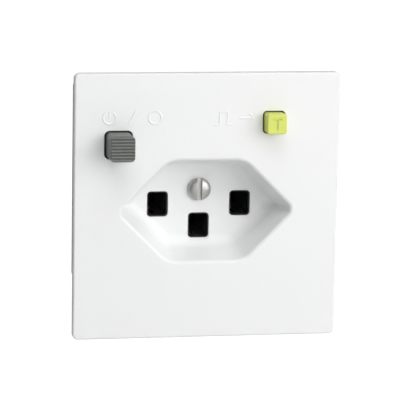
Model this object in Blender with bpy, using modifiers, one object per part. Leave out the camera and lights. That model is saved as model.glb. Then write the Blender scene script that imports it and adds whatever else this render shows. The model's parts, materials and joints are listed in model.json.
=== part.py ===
"""Residual-current socket outlet, 60 x 60 mm insert, as an assembly of separate parts at rest.

Metres, +Z up. The front faces -Y and the mechanism reaches along +Y into the wall. The origin is the
centre of the plane in which the support frame rests on the wall box's fixing plate. At rest the
outlet is tripped: the switch button stands out and the contacts are open.
"""

import math

import bmesh
import bpy
from mathutils import Matrix, Vector

MM = 0.001
MERGE = 0.001 * MM  # points closer than this are one point
GAP = 0.3 * MM  # between pieces that touch on the real outlet
PAST = 0.5 * MM  # how far a cutter or a joined shape runs past the face it meets

# Cover plate
PLATE_SIDE = 60 * MM
PLATE_CORNER = 1.2 * MM
PLATE_FRONT = -3.2 * MM
PLATE_SHEET = 1.5 * MM
PLATE_DEPTH = 2.0 * MM
PLATE_EDGE = 0.35 * MM
SKIRT_WALL = 1.2 * MM

# Plug recess, a hexagon with 45 degree flanks
SOCKET_Z = -1.1 * MM
RECESS_HALF_HEIGHT = 11.65 * MM
RECESS_FLAT_HALF = 8.7 * MM
RECESS_FLAT_RADIUS = 5.5 * MM
RECESS_TIP_RADIUS = 2.0 * MM
RECESS_TIP_LEAST = 0.6 * MM
RECESS_DEPTH = 9.7 * MM
RECESS_DRAFT = 1.7 * MM  # how far the floor's outline lies inside the rim's
CUP_WALL = 1.4 * MM
CUP_FLOOR = 1.5 * MM
FLOOR_FRONT = PLATE_FRONT + RECESS_DEPTH
FLOOR_BACK = FLOOR_FRONT + CUP_FLOOR

# Pin apertures, the black housing's collars round them, and sleeves
PIN_SPACING = 19 * MM
EARTH_DROP = 5 * MM
APERTURE_WIDTH = 4.3 * MM
APERTURE_HEIGHT = 5.3 * MM
APERTURE_RADIUS = 0.6 * MM
COLLAR_WALL = 0.2 * MM
COLLAR_GAP = 0.05 * MM
COLLAR_SUNK = 0.15 * MM
SLEEVE_WIDTH = 6.5 * MM
SLEEVE_HEIGHT = 7.5 * MM
SLEEVE_WALL = 0.7 * MM
SLEEVE_LENGTH = 15.2 * MM
SLEEVE_SLIT = 1.2 * MM
SLEEVE_TAIL = 4 * MM  # the unslit length at its back

# Cover screw
SCREW_Z = 2.3 * MM
SCREW_HEAD_RADIUS = 2.6 * MM
SCREW_HEAD_HEIGHT = 1.3 * MM
SCREW_HEAD_EDGE = 0.35 * SCREW_HEAD_HEIGHT  # the straight part below the dome
SCREW_SLOT_DEPTH = 0.7 * SCREW_HEAD_HEIGHT
SCREW_SLOT_WIDTH = 0.9 * MM
SCREW_SHANK_RADIUS = 1.5 * MM
SCREW_LENGTH = 9 * MM
SCREW_HOLE_RADIUS = 1.8 * MM
INSERT_RADIUS = 2.9 * MM
INSERT_LENGTH = 4.6 * MM
INSERT_SIDES = 12
INSERT_BOSS_RADIUS = 4 * MM

# Switch button
SWITCH_X = -20.1 * MM
SWITCH_Z = 14 * MM
SWITCH_WIDTH = 5.5 * MM
SWITCH_HEIGHT = 5.7 * MM
SWITCH_CORNER = 0.9 * MM
SWITCH_OPENING = 6.2 * MM
SWITCH_PROUD = 6.4 * MM
SWITCH_TRAVEL = 4 * MM
SWITCH_STEM_RADIUS = 2 * MM
SWITCH_STEM_BACK = 9 * MM
SWITCH_FLANGE = 7.2 * MM
SWITCH_FLANGE_LEFT = 3.2 * MM  # its reach towards the near wall, from the button's middle
SWITCH_SPRING_RADIUS = 2.9 * MM
SWITCH_SPRING_WIRE = 0.28 * MM
RIBS = 7
RIB_PITCH = 0.71 * MM
RIB_GROOVE_DEPTH = 0.3 * MM
RIB_GROOVE_WIDTH = 0.26 * MM

# Test button
TEST_X = 15 * MM
TEST_Z = 18.8 * MM
TEST_SIDE = 4.45 * MM
TEST_CORNER = 0.6 * MM
TEST_OPENING = 4.9 * MM
TEST_PROUD = 3.6 * MM
TEST_STEM_RADIUS = 1.1 * MM
TEST_STEM_TIP_RADIUS = 0.8 * MM
TEST_STEM_BACK = 10.4 * MM
TEST_FLANGE = 6.2 * MM
TEST_SPRING_RADIUS = 1.9 * MM
TEST_SPRING_WIRE = 0.2 * MM
LETTER_DEPTH = 0.25 * MM
LETTER_STROKE = 0.55 * MM
LETTER_WIDTH = 2.1 * MM
LETTER_HEIGHT = 2.6 * MM

# Buttons' flanges, behind the housing's front wall, and their springs
FLANGE_FRONT = 2.1 * MM
FLANGE_THICKNESS = 1.3 * MM
BUTTON_SPRING_TURNS = 5

# Support frame
FRAME_SIDE = 57 * MM
FRAME_FRONT = -1.3 * MM
FRAME_SHEET = 1 * MM
FRAME_CORNER = 1 * MM
FRAME_CLEARANCE = 0.5 * MM  # round the buttons' openings
REST_PAD_LENGTH = 40 * MM
REST_PAD_HEIGHT = 2.6 * MM
REST_PAD_Z = 26.9 * MM

# Retaining clips, bent from a strip: (reach from the housing's side, depth) along its inner face
CLIP_SHEET = 0.5 * MM
CLIP_WIDTH = 8 * MM
CLIP_BENDS = [(0, 14 * MM), (0, 8.5 * MM), (2.2 * MM, 4.2 * MM), (1.2 * MM, 0.8 * MM)]

# Housings
HOUSING_SIDE = 50 * MM
HOUSING_CORNER = 2.5 * MM
HOUSING_WALL = 1.5 * MM
HOUSING_FRONT = 0.3 * MM
HOUSING_JOINT = 17 * MM
LIP_LENGTH = 1 * MM
LIP_WALL = 0.6 * MM
HOUSING_BACK = 35.5 * MM
POCKET_CLEARANCE = 1.8 * MM
POCKET_WALL = 1.2 * MM
POCKET_FLOOR = 1.2 * MM
POCKET_FLOOR_FRONT = FLOOR_BACK + GAP
POCKET_FLOOR_BACK = POCKET_FLOOR_FRONT + POCKET_FLOOR
SHELF_FRONT = 12 * MM
SHELF_THICKNESS = 1.4 * MM
SWITCH_SHELF_END = -15.6 * MM
SWITCH_SHELF_HEIGHT = 10 * MM
TEST_SHELF_FRONT = 8.4 * MM
TEST_SHELF_WIDTH = 7 * MM
TEST_SHELF_BELOW = 3.3 * MM  # how far it reaches down from the button's middle
HOUSING_INSIDE = HOUSING_SIDE / 2 - HOUSING_WALL
HOUSING_SCREW_PLACE = 21.2 * MM
HOUSING_BOSS_HALF = 2.3 * MM
HOUSING_SCREW_RADIUS = 0.9 * MM
HOUSING_SCREW_HEAD_RADIUS = 1.7 * MM
HOUSING_SCREW_HEAD_HEIGHT = 0.9 * MM
HOUSING_SCREW_HEAD_SUNK = 1.2 * MM
HOUSING_SCREW_SLOT_DEPTH = 0.5 * MM
HOUSING_SCREW_SLOT_WIDTH = 0.6 * MM

# Contact carrier, bridges and fixed contacts
CARRIER_BAR_FRONT = 15 * MM
CARRIER_BAR_THICKNESS = 3.6 * MM
CARRIER_BAR_X = (-22.3 * MM, -17.9 * MM)
CARRIER_BAR_Z = (-10.5 * MM, 16 * MM)
POLE_Z = {"live": -7.5 * MM, "neutral": 2.5 * MM}
LINE_TIP_X = -21.9 * MM
LOAD_TIP_X = -16.9 * MM
BRIDGE_WIDTH = 3.2 * MM
STRIP_END = 1.3 * MM  # how far a strip reaches past its tip's middle
LINE_STRIP_Z = {
    "live": (-13.5 * MM, POLE_Z["live"] + 1.6 * MM),
    "neutral": (-1.5 * MM, POLE_Z["neutral"] + 1.6 * MM),
}
NEUTRAL_TAIL_BACK = 30.3 * MM
LOAD_STRIP_END = {"live": -7 * MM, "neutral": 12 * MM}
LOAD_STRIP_Z = {"live": (-9 * MM, -6 * MM), "neutral": (1.2 * MM, 3.9 * MM)}
CONTACT_STRIP = 1 * MM
CONTACT_WIDTH = 2.8 * MM
TIP_RADIUS = 1.2 * MM
TIP_HEIGHT = 0.8 * MM
BRIDGE_FRONT = CARRIER_BAR_FRONT + CARRIER_BAR_THICKNESS + GAP
BRIDGE_TIP_BACK = BRIDGE_FRONT + CONTACT_STRIP + TIP_HEIGHT
FIXED_TIP_FRONT = BRIDGE_TIP_BACK + SWITCH_TRAVEL + GAP
FIXED_STRIP_FRONT = FIXED_TIP_FRONT + TIP_HEIGHT
SLEEVE_FRONT = POCKET_FLOOR_BACK + GAP
SLEEVE_BACK = SLEEVE_FRONT + SLEEVE_LENGTH

# Trip solenoid and latch
SOLENOID_Y = 26 * MM
SOLENOID_Z = 16.5 * MM
BOBBIN_X = (-10.5 * MM, 4.5 * MM)
BOBBIN_FLANGE_RADIUS = 5.2 * MM
BOBBIN_FLANGE = 1 * MM
BOBBIN_TUBE_RADIUS = 2.3 * MM
BOBBIN_BORE_RADIUS = 1.65 * MM
COIL_RADIUS = 4.7 * MM
YOKE_SHEET = 1.2 * MM
YOKE_WIDTH = 8 * MM
PLUNGER_RADIUS = 1.3 * MM
PLUNGER_TIP_RADIUS = 0.6 * MM
PLUNGER_FRONT_X = -14.2 * MM
PLUNGER_LENGTH = 13 * MM
PLUNGER_NOSE = 0.8 * MM
LATCH_PIVOT_X = -15.2 * MM
LATCH_PIVOT_Y = 20.5 * MM
LATCH_THICKNESS = 2 * MM
LATCH_ARM = 1.4 * MM
LATCH_HOOK_X = -17.5 * MM
LATCH_FRONT_Y = 14.1 * MM
LATCH_BACK_Y = 28 * MM
LATCH_EYE_RADIUS = 2 * MM
LATCH_HOOK_DEPTH = 1.2 * MM
LATCH_PIN_RADIUS = 0.8 * MM
LATCH_PIN_BOTTOM = 12 * MM
LATCH_SPRING_LENGTH = 2.6 * MM
LATCH_SPRING_RADIUS = 1.5 * MM
LATCH_SPRING_WIRE = 0.2 * MM
LATCH_SPRING_TURNS = 4

# Summation current transformer
TOROID_X = -8 * MM
TOROID_Z = -17 * MM
TOROID_Y = (15.8 * MM, 24 * MM)
WINDING_RADII = (2.3 * MM, 6.3 * MM)
WINDING_WALL = 0.7 * MM
CONDUCTOR_RADIUS = 0.75 * MM
CONDUCTOR_OFFSET = 0.95 * MM
CONDUCTOR_BEND = 2 * MM
CONDUCTOR_FRONT = 13.8 * MM
NEUTRAL_CONDUCTOR_BACK = 29.4 * MM

# Terminals
TERMINAL_X = {"earth": 3 * MM, "live": 11.2 * MM, "neutral": 19.4 * MM}
TERMINAL_WIDTH = 7.4 * MM
TERMINAL_Z = (-22.9 * MM, -14.9 * MM)
TERMINAL_Y = (18 * MM, 27 * MM)
TERMINAL_WALL = 1.1 * MM
TERMINAL_SCREW_RADIUS = 1.5 * MM
TERMINAL_HEAD_RADIUS = 2.2 * MM
TERMINAL_HEAD_SUNK = 0.2 * MM
TERMINAL_SLOT_DEPTH = 0.8 * MM
TERMINAL_SLOT_WIDTH = 0.7 * MM
WIRE_ENTRY = 5 * MM
WIRE_Z = (TERMINAL_Z[0] + TERMINAL_Z[1]) / 2

# Earth strap, an upright with a foot over the terminal and a head under the sleeve
STRAP_X = (1 * MM, 2 * MM)
STRAP_Y = (19 * MM, 24 * MM)
STRAP_FOOT_X = (1.4 * MM, 5.5 * MM)
STRAP_HEAD_X = (-2 * MM, 1.6 * MM)

# Circuit board, standing along the right wall
BOARD_X = (21.9 * MM, 23.1 * MM)
BOARD_Y = (11 * MM, 32 * MM)
BOARD_Z = (-12 * MM, 10 * MM)
BOARD_FACE = BOARD_X[0] - GAP

# Parts on the board
CHIP_Y = (17 * MM, 23 * MM)
CHIP_Z = (-1 * MM, 4 * MM)
CHIP_TOP = 2 * MM
CHIP_STANDOFF = 0.4 * MM
CHIP_LEGS = 4
CHIP_LEG_PITCH = 1.4 * MM
CHIP_LEG_WIDTH = 0.5 * MM
CHIP_LEG_TOP = 1 * MM
CHIP_LEG_REACH = 0.9 * MM
CAPACITOR_PLACE = (28 * MM, -4 * MM)
CAPACITOR_RADIUS = 2.5 * MM
CAPACITOR_LENGTH = 6 * MM
CAPACITOR_EDGE = 0.3 * MM
VARISTOR_PLACE = (15.5 * MM, -6.5 * MM)
VARISTOR_X = 17 * MM
VARISTOR_RADIUS = 4 * MM
VARISTOR_THICKNESS = 2.2 * MM
VARISTOR_LEAD_OFFSET = 2 * MM
LEAD_RADIUS = 0.4 * MM
THYRISTOR_PLACE = (27 * MM, 5 * MM)
THYRISTOR_X = 16.5 * MM
THYRISTOR_RADIUS = 2.2 * MM
THYRISTOR_LENGTH = 4 * MM
THYRISTOR_FLAT = 1.2 * MM  # from its middle to its flat side
THYRISTOR_PINS = 3
THYRISTOR_PIN_PITCH = 1.27 * MM
THYRISTOR_PIN_RADIUS = 0.25 * MM
THYRISTOR_PIN_Y = 26.8 * MM

# Test circuit
LEAF_PIVOT_X = 22 * MM
LEAF_TIP_X = 13.2 * MM
LEAF_THICKNESS = 0.4 * MM
LEAF_HEIGHT = 3 * MM
LEAF_FRONT = TEST_STEM_BACK + GAP
RESISTOR_Y = 13.6 * MM
RESISTOR_Z = 15.5 * MM
RESISTOR_X = 15 * MM
RESISTOR_LENGTH = 5.5 * MM
RESISTOR_RADIUS = 1.2 * MM
POST_X = 13.8 * MM

ROUND = 24  # sides of the round parts that can be seen
BOBBIN_SIDES = 20  # sides of the larger inner round parts
SMALL_ROUND = 14  # sides of small or inner round parts
TIP_SIDES = 10
WIRE_SIDES = 8
PIN_SIDES = 6
CORNER_STEPS = 3


def material(name, color, roughness, metallic=0.0):
    """A Principled material with this linear base colour."""
    made = bpy.data.materials.new(name)
    made.use_nodes = True
    shader = made.node_tree.nodes["Principled BSDF"]
    shader.inputs["Base Color"].default_value = (*color, 1.0)
    shader.inputs["Roughness"].default_value = roughness
    shader.inputs["Metallic"].default_value = metallic
    return made


def link(obj, is_cutter=False):
    """Put the object with the parts, or with the cutters, which aren't rendered."""
    if is_cutter:
        cutters.objects.link(obj)
        obj.hide_render = True
        obj.display_type = "WIRE"
    else:
        parts.objects.link(obj)
    return obj


def object_from(bm, name, finish=None, at=(0, 0, 0), smooth=False):
    """An object from a bmesh: a part if it has a finish, and a cutter if not."""
    bmesh.ops.recalc_face_normals(bm, faces=bm.faces)
    mesh = bpy.data.meshes.new(name)
    bm.to_mesh(mesh)
    bm.free()
    if smooth:
        mesh.shade_smooth()
        mesh.set_sharp_from_angle(angle=math.radians(35))
    obj = bpy.data.objects.new(name, mesh)
    obj.location = at
    if finish:
        mesh.materials.append(finish)
    return link(obj, is_cutter=finish is None)


def box(name, x, y, z, finish=None):
    """A box between the given ends along each axis, with its origin at its centre."""
    ends = Vector((x[0], y[0], z[0])), Vector((x[1], y[1], z[1]))
    size = ends[1] - ends[0]
    bm = bmesh.new()
    bmesh.ops.create_cube(bm, size=1, matrix=Matrix.Diagonal((*size, 1)))
    return object_from(bm, name, finish, at=(ends[0] + ends[1]) / 2)


def around(centre, size):
    """The two ends of a span with this centre and size."""
    return centre - size / 2, centre + size / 2


AXES = {
    "X": Matrix.Rotation(math.radians(90), 4, "Y"),
    "Y": Matrix.Rotation(math.radians(-90), 4, "X"),
    "Z": Matrix.Identity(4),
}


def cylinder(name, axis, start, length, radius, finish=None, far_radius=None, sides=SMALL_ROUND):
    """A cylinder, or a cone if far_radius is given, from start along +axis."""
    bm = bmesh.new()
    bmesh.ops.create_cone(
        bm,
        cap_ends=True,
        segments=sides,
        radius1=radius,
        radius2=radius if far_radius is None else far_radius,
        depth=length,
        matrix=AXES[axis] @ Matrix.Translation((0, 0, length / 2)),
    )
    return object_from(bm, name, finish, at=start, smooth=True)


def rounded_outline(corners, radii, steps=CORNER_STEPS):
    """The points of a convex polygon with each corner replaced by an arc of its radius."""
    points = []
    count = len(corners)
    for index, (corner, radius) in enumerate(zip(corners, radii)):
        corner = Vector(corner)
        before = (Vector(corners[index - 1]) - corner).normalized()
        after = (Vector(corners[(index + 1) % count]) - corner).normalized()
        half = before.angle(after) / 2
        centre = corner + (before + after).normalized() * radius / math.sin(half)
        start = corner + before * radius / math.tan(half) - centre
        sweep = start.angle_signed(corner + after * radius / math.tan(half) - centre)
        for step in range(steps + 1):
            points.append(centre + Matrix.Rotation(-sweep * step / steps, 2) @ start)
    return points


def rectangle_outline(width, height, radius, steps=CORNER_STEPS):
    half_w = width / 2
    half_h = height / 2
    corners = [(-half_w, -half_h), (half_w, -half_h), (half_w, half_h), (-half_w, half_h)]
    return rounded_outline(corners, [radius] * 4, steps)


def hexagon_outline(offset=0.0):
    """The plug recess's rim, grown outwards by the offset."""
    half_height = RECESS_HALF_HEIGHT + offset
    flat = RECESS_FLAT_HALF + offset * math.tan(math.radians(22.5))
    tip = flat + half_height
    corners = [(-flat, -half_height), (flat, -half_height), (tip, 0)]
    corners += [(flat, half_height), (-flat, half_height), (-tip, 0)]
    flat_radius = RECESS_FLAT_RADIUS + offset
    tip_radius = max(RECESS_TIP_RADIUS + offset, RECESS_TIP_LEAST)
    radii = [flat_radius, flat_radius, tip_radius, flat_radius, flat_radius, tip_radius]
    return rounded_outline(corners, radii)


def prism(name, outline, y, centre, finish=None):
    """An outline in the X-Z plane, given as (x, z) about centre, filled and extruded between two depths."""
    curve = bpy.data.curves.new(name, "CURVE")
    curve.dimensions = "2D"
    curve.fill_mode = "BOTH"
    curve.extrude = (y[1] - y[0]) / 2
    spline = curve.splines.new("POLY")
    spline.points.add(len(outline) - 1)
    for point, (x, z) in zip(spline.points, outline):
        point.co = (x, -z, 0, 1)
    spline.use_cyclic_u = True
    guide = bpy.data.objects.new(name, curve)
    link(guide, is_cutter=True)
    mesh = bpy.data.meshes.new_from_object(guide.evaluated_get(bpy.context.evaluated_depsgraph_get()))
    bpy.data.objects.remove(guide)
    bm = bmesh.new()
    bm.from_mesh(mesh)
    bpy.data.meshes.remove(mesh)
    bpy.data.curves.remove(curve)
    bmesh.ops.remove_doubles(bm, verts=bm.verts, dist=MERGE)
    bmesh.ops.transform(bm, matrix=AXES["Y"], verts=bm.verts)
    return object_from(bm, name, finish, at=(centre[0], (y[0] + y[1]) / 2, centre[1]))


def drafted_hexagon(name, y, offsets, finish=None):
    """The recess's hexagon between two depths, with its own outward offset at each."""
    obj = prism(name, hexagon_outline(offsets[0]), y, (0, SOCKET_Z), finish)
    back = hexagon_outline(offsets[1])
    front_points = [Vector(point) for point in hexagon_outline(offsets[0])]
    for vertex in obj.data.vertices:
        if vertex.co.y > 0:
            here = Vector((vertex.co.x, vertex.co.z))
            nearest = min(range(len(back)), key=lambda i: (front_points[i] - here).length)
            vertex.co.x, vertex.co.z = back[nearest]
    return obj


def turned(name, axis, at, profile, finish=None, sides=ROUND, ring=False):
    """A profile of (radius, distance along the axis) turned about the axis, its outer side first."""
    bm = bmesh.new()
    points = [bm.verts.new((radius, 0, height)) for radius, height in profile]
    for first, second in zip(points, points[1:]):
        bm.edges.new((first, second))
    if ring:
        bm.edges.new((points[-1], points[0]))
    mesh = bpy.data.meshes.new(name)
    bm.to_mesh(mesh)
    bm.free()
    obj = bpy.data.objects.new(name, mesh)
    obj.matrix_world = Matrix.Translation(at) @ AXES[axis]
    link(obj, is_cutter=finish is None)
    if finish:
        mesh.materials.append(finish)
    screw = obj.modifiers.new("turn", "SCREW")
    screw.steps = sides
    screw.render_steps = sides
    screw.use_merge_vertices = True
    screw.merge_threshold = MERGE
    return obj


def combine(target, other, operation="DIFFERENCE"):
    """Cut other from target or, with UNION, join it on. The other shape stays among the cutters."""
    if other.name in parts.objects:
        parts.objects.unlink(other)
        link(other, is_cutter=True)
    modifier = target.modifiers.new(other.name, "BOOLEAN")
    modifier.operation = operation
    modifier.object = other
    return target


def cut(target, *others):
    for other in others:
        combine(target, other)
    return target


def join(target, *others):
    for other in others:
        combine(target, other, "UNION")
    return target


def soften(obj, width, segments=1, angle=40):
    """Bevel the object's sharp edges."""
    modifier = obj.modifiers.new("edges", "BEVEL")
    modifier.width = width
    modifier.segments = segments
    modifier.limit_method = "ANGLE"
    modifier.angle_limit = math.radians(angle)
    return obj


def tube_along(name, points, radius, finish, bend=0.0, resolution=2, bend_steps=3):
    """A round wire through the points, with arcs of radius bend at its corners."""
    path = [Vector(points[0])]
    for before, corner, after in zip(points, points[1:], points[2:]):
        corner = Vector(corner)
        back = (Vector(before) - corner).normalized()
        ahead = (Vector(after) - corner).normalized()
        if not bend or abs(back.dot(ahead)) > 0.99:
            path.append(corner)
            continue
        half = back.angle(ahead) / 2
        centre = corner + (back + ahead).normalized() * bend / math.sin(half)
        start = corner + back * bend / math.tan(half) - centre
        axis = start.cross(corner + ahead * bend / math.tan(half) - centre)
        sweep = math.pi - 2 * half
        for step in range(bend_steps + 1):
            path.append(centre + Matrix.Rotation(sweep * step / bend_steps, 3, axis) @ start)
    path.append(Vector(points[-1]))
    curve = bpy.data.curves.new(name, "CURVE")
    curve.dimensions = "3D"
    curve.bevel_depth = radius
    curve.bevel_resolution = resolution
    curve.use_fill_caps = True
    spline = curve.splines.new("POLY")
    spline.points.add(len(path) - 1)
    for point, place in zip(spline.points, path):
        point.co = (*place, 1)
    curve.materials.append(finish)
    return link(bpy.data.objects.new(name, curve))


def coil_spring(name, axis, start, length, mean_radius, wire_radius, turns, finish, sides=10):
    """A helical spring with its first and last half turns closed flat."""
    inner = length - 2 * wire_radius
    points = []
    total = int(turns * sides)
    for index in range(total + 1):
        turn = index / sides
        live = min(max((turn - 0.5) / (turns - 1), 0), 1)
        angle = 2 * math.pi * turn
        local = Vector((
            mean_radius * math.cos(angle),
            mean_radius * math.sin(angle),
            wire_radius + inner * live,
        ))
        points.append(AXES[axis] @ local + Vector(start))
    return tube_along(name, points, wire_radius, finish, resolution=1)


def make_cover_plate():
    half = PLATE_SIDE / 2
    back = PLATE_FRONT + PLATE_DEPTH
    outline = rectangle_outline(PLATE_SIDE, PLATE_SIDE, PLATE_CORNER)
    plate = prism("cover_plate", outline, (PLATE_FRONT, back), (0, 0), COVER_WHITE)
    soften(plate, PLATE_EDGE)
    inside = half - SKIRT_WALL
    sheet_back = PLATE_FRONT + PLATE_SHEET
    cut(plate, box("cut_cover_inside", (-inside, inside), (sheet_back, back + PAST), (-inside, inside)))
    cup_outside = (CUP_WALL, CUP_WALL - RECESS_DRAFT)
    join(plate, drafted_hexagon("join_cup", (PLATE_FRONT + PLATE_SHEET / 2, FLOOR_BACK), cup_outside))
    slope = RECESS_DRAFT / RECESS_DEPTH
    mouth = (PLATE_FRONT - PAST, FLOOR_FRONT)
    cut(plate, drafted_hexagon("cut_recess", mouth, (slope * PAST, -RECESS_DRAFT)))
    for name, x, z in pin_places():
        through = (FLOOR_FRONT - PAST, FLOOR_BACK + PAST)
        cut(plate, prism(f"cut_cover_{name}", aperture_outline(COLLAR_WALL + COLLAR_GAP), through, (x, z)))
    hole_start = (0, FLOOR_FRONT - PAST, SCREW_Z)
    cut(plate, cylinder("cut_cover_screw", "Y", hole_start, CUP_FLOOR + 2 * PAST, SCREW_HOLE_RADIUS))
    through = (PLATE_FRONT - PAST, sheet_back + PAST)
    for name, x, z, size, corner in button_openings():
        cut(plate, prism(f"cut_cover_{name}", rectangle_outline(size, size, corner), through, (x, z)))
    return plate


def pin_places():
    """The name and the (x, z) place of each pin."""
    half = PIN_SPACING / 2
    return [
        ("live", -half, SOCKET_Z),
        ("neutral", half, SOCKET_Z),
        ("earth", 0, SOCKET_Z - EARTH_DROP),
    ]


def aperture_outline(grow=0.0):
    """A pin aperture's outline, grown outwards."""
    return rectangle_outline(APERTURE_WIDTH + 2 * grow, APERTURE_HEIGHT + 2 * grow, APERTURE_RADIUS + grow)


def button_openings():
    """The name, place, size and corner radius of each button's opening."""
    return [
        ("switch", SWITCH_X, SWITCH_Z, SWITCH_OPENING, SWITCH_CORNER + GAP),
        ("test", TEST_X, TEST_Z, TEST_OPENING, TEST_CORNER + GAP),
    ]


def make_cover_screw():
    """A domed slotted screw, turned about Y, whose slot is vertical."""
    profile = [
        (0, SCREW_LENGTH),
        (SCREW_SHANK_RADIUS, SCREW_LENGTH),
        (SCREW_SHANK_RADIUS, 0),
        (SCREW_HEAD_RADIUS, 0),
        (SCREW_HEAD_RADIUS, -SCREW_HEAD_EDGE),
    ]
    rise = SCREW_HEAD_HEIGHT - SCREW_HEAD_EDGE
    for angle in (math.radians(30), math.radians(60)):
        height = SCREW_HEAD_EDGE + rise * math.sin(angle)
        profile.append((SCREW_HEAD_RADIUS * math.cos(angle), -height))
    profile.append((0, -SCREW_HEAD_HEIGHT))
    at = (0, FLOOR_FRONT - GAP, SCREW_Z)
    screw = turned("cover_screw", "Y", at, profile, NICKEL)
    head_front = at[1] - SCREW_HEAD_HEIGHT
    slot_y = (head_front - PAST, head_front + SCREW_SLOT_DEPTH)
    slot_z = around(SCREW_Z, 2 * SCREW_HEAD_RADIUS + 2 * PAST)
    return cut(screw, box("cut_screw_slot", around(0, SCREW_SLOT_WIDTH), slot_y, slot_z))


def make_screw_insert():
    """The brass nut that the cover screw goes into."""
    start = (0, POCKET_FLOOR_BACK, SCREW_Z)
    insert = cylinder("screw_insert", "Y", start, INSERT_LENGTH, INSERT_RADIUS, BRASS, sides=INSERT_SIDES)
    bore_start = (0, start[1] - PAST, SCREW_Z)
    return cut(insert, cylinder("cut_insert", "Y", bore_start, INSERT_LENGTH + 2 * PAST, SCREW_HOLE_RADIUS))


def make_switch_button():
    front = PLATE_FRONT - SWITCH_PROUD
    outline = rectangle_outline(SWITCH_WIDTH, SWITCH_HEIGHT, SWITCH_CORNER)
    button = prism("on_off_button", outline, (front, FLANGE_FRONT + PAST), (SWITCH_X, SWITCH_Z), BUTTON_GREY)
    flange_y = (FLANGE_FRONT, FLANGE_FRONT + FLANGE_THICKNESS)
    flange_left = SWITCH_X - SWITCH_FLANGE_LEFT
    flange_x = (flange_left, flange_left + SWITCH_FLANGE)
    join(button, box("join_flange", flange_x, flange_y, around(SWITCH_Z, SWITCH_FLANGE)))
    stem_start = (SWITCH_X, flange_y[0] + PAST, SWITCH_Z)
    join(button, cylinder("join_stem", "Y", stem_start, SWITCH_STEM_BACK - stem_start[1], SWITCH_STEM_RADIUS))
    for rib in range(RIBS):
        z = SWITCH_Z + (rib - (RIBS - 1) / 2) * RIB_PITCH
        groove_x = around(SWITCH_X, SWITCH_WIDTH + 2 * PAST)
        groove_y = (front - PAST, front + RIB_GROOVE_DEPTH)
        cut(button, box(f"cut_rib_{rib}", groove_x, groove_y, around(z, RIB_GROOVE_WIDTH)))
    return button


def make_test_button():
    front = PLATE_FRONT - TEST_PROUD
    outline = rectangle_outline(TEST_SIDE, TEST_SIDE, TEST_CORNER)
    button = prism("test_button", outline, (front, FLANGE_FRONT + PAST), (TEST_X, TEST_Z), BUTTON_LIME)
    flange_y = (FLANGE_FRONT, FLANGE_FRONT + FLANGE_THICKNESS)
    join(button, box("join_test_flange", around(TEST_X, TEST_FLANGE), flange_y, around(TEST_Z, TEST_FLANGE)))
    stem_start = (TEST_X, flange_y[0] + PAST, TEST_Z)
    stem = cylinder(
        "join_test_stem",
        "Y",
        stem_start,
        TEST_STEM_BACK - stem_start[1],
        TEST_STEM_RADIUS,
        far_radius=TEST_STEM_TIP_RADIUS,
    )
    join(button, stem)
    letter_y = (front - PAST, front + LETTER_DEPTH)
    top = TEST_Z + LETTER_HEIGHT / 2
    bar = box("cut_letter_bar", around(TEST_X, LETTER_WIDTH), letter_y, (top - LETTER_STROKE, top))
    upright_x = around(TEST_X, LETTER_STROKE)
    upright = box("cut_letter_upright", upright_x, letter_y, around(TEST_Z, LETTER_HEIGHT))
    return cut(button, join(bar, upright))


def make_button_springs():
    """Coil springs round the buttons' stems, between flange and shelf."""
    start = FLANGE_FRONT + FLANGE_THICKNESS + GAP
    for name, x, z, shelf, radius, wire in (
        ("on_off_spring", SWITCH_X, SWITCH_Z, SHELF_FRONT, SWITCH_SPRING_RADIUS, SWITCH_SPRING_WIRE),
        ("test_spring", TEST_X, TEST_Z, TEST_SHELF_FRONT, TEST_SPRING_RADIUS, TEST_SPRING_WIRE),
    ):
        length = shelf - GAP - start
        coil_spring(name, "Y", (x, start, z), length, radius, wire, BUTTON_SPRING_TURNS, SPRING_STEEL)


def make_support_frame():
    y = (FRAME_FRONT, FRAME_FRONT + FRAME_SHEET)
    outline = rectangle_outline(FRAME_SIDE, FRAME_SIDE, FRAME_CORNER)
    frame = prism("support_frame", outline, y, (0, 0), ZINC)
    for side, name in ((1, "upper"), (-1, "lower")):
        pad_z = around(side * REST_PAD_Z, REST_PAD_HEIGHT)
        join(frame, box(f"join_{name}_pad", around(0, REST_PAD_LENGTH), (y[0] + PAST, 0), pad_z))
    through = (y[0] - PAST, y[1] + PAST)
    cut(frame, prism("cut_frame_cup", hexagon_outline(CUP_WALL + PAST), through, (0, SOCKET_Z)))
    for name, x, z, size, corner in button_openings():
        wide = size + 2 * FRAME_CLEARANCE
        cut(frame, prism(f"cut_frame_{name}", rectangle_outline(wide, wide, corner), through, (x, z)))
    return frame


def make_retaining_clip(side, name):
    """A sprung steel leaf on the housing's side that snaps behind the fixing plate."""
    inner = HOUSING_SIDE / 2 + GAP
    line = [Vector((inner + reach, depth)) for reach, depth in CLIP_BENDS]
    outer = [point + Vector((CLIP_SHEET, 0)) for point in reversed(line)]
    bm = bmesh.new()
    bottom = -CLIP_WIDTH / 2
    face = bm.faces.new([bm.verts.new((side * point.x, point.y, bottom)) for point in line + outer])
    made = bmesh.ops.extrude_face_region(bm, geom=[face])["geom"]
    top = [item for item in made if isinstance(item, bmesh.types.BMVert)]
    bmesh.ops.translate(bm, vec=(0, 0, CLIP_WIDTH), verts=top)
    return object_from(bm, name, SPRING_STEEL)


def housing_prism(name, y, inset=0.0, finish=None):
    """A square prism with rounded corners whose sides lie inset from the housings' outside."""
    side = HOUSING_SIDE - 2 * inset
    return prism(name, rectangle_outline(side, side, HOUSING_CORNER - inset), y, (0, 0), finish)


def corner_boss(name, side, y):
    """A square boss in the upper right or lower left corner, reaching into both walls."""
    inner = HOUSING_SCREW_PLACE - HOUSING_BOSS_HALF
    ends = sorted((side * inner, side * (HOUSING_INSIDE + PAST)))
    return box(name, ends, y, ends)


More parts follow.
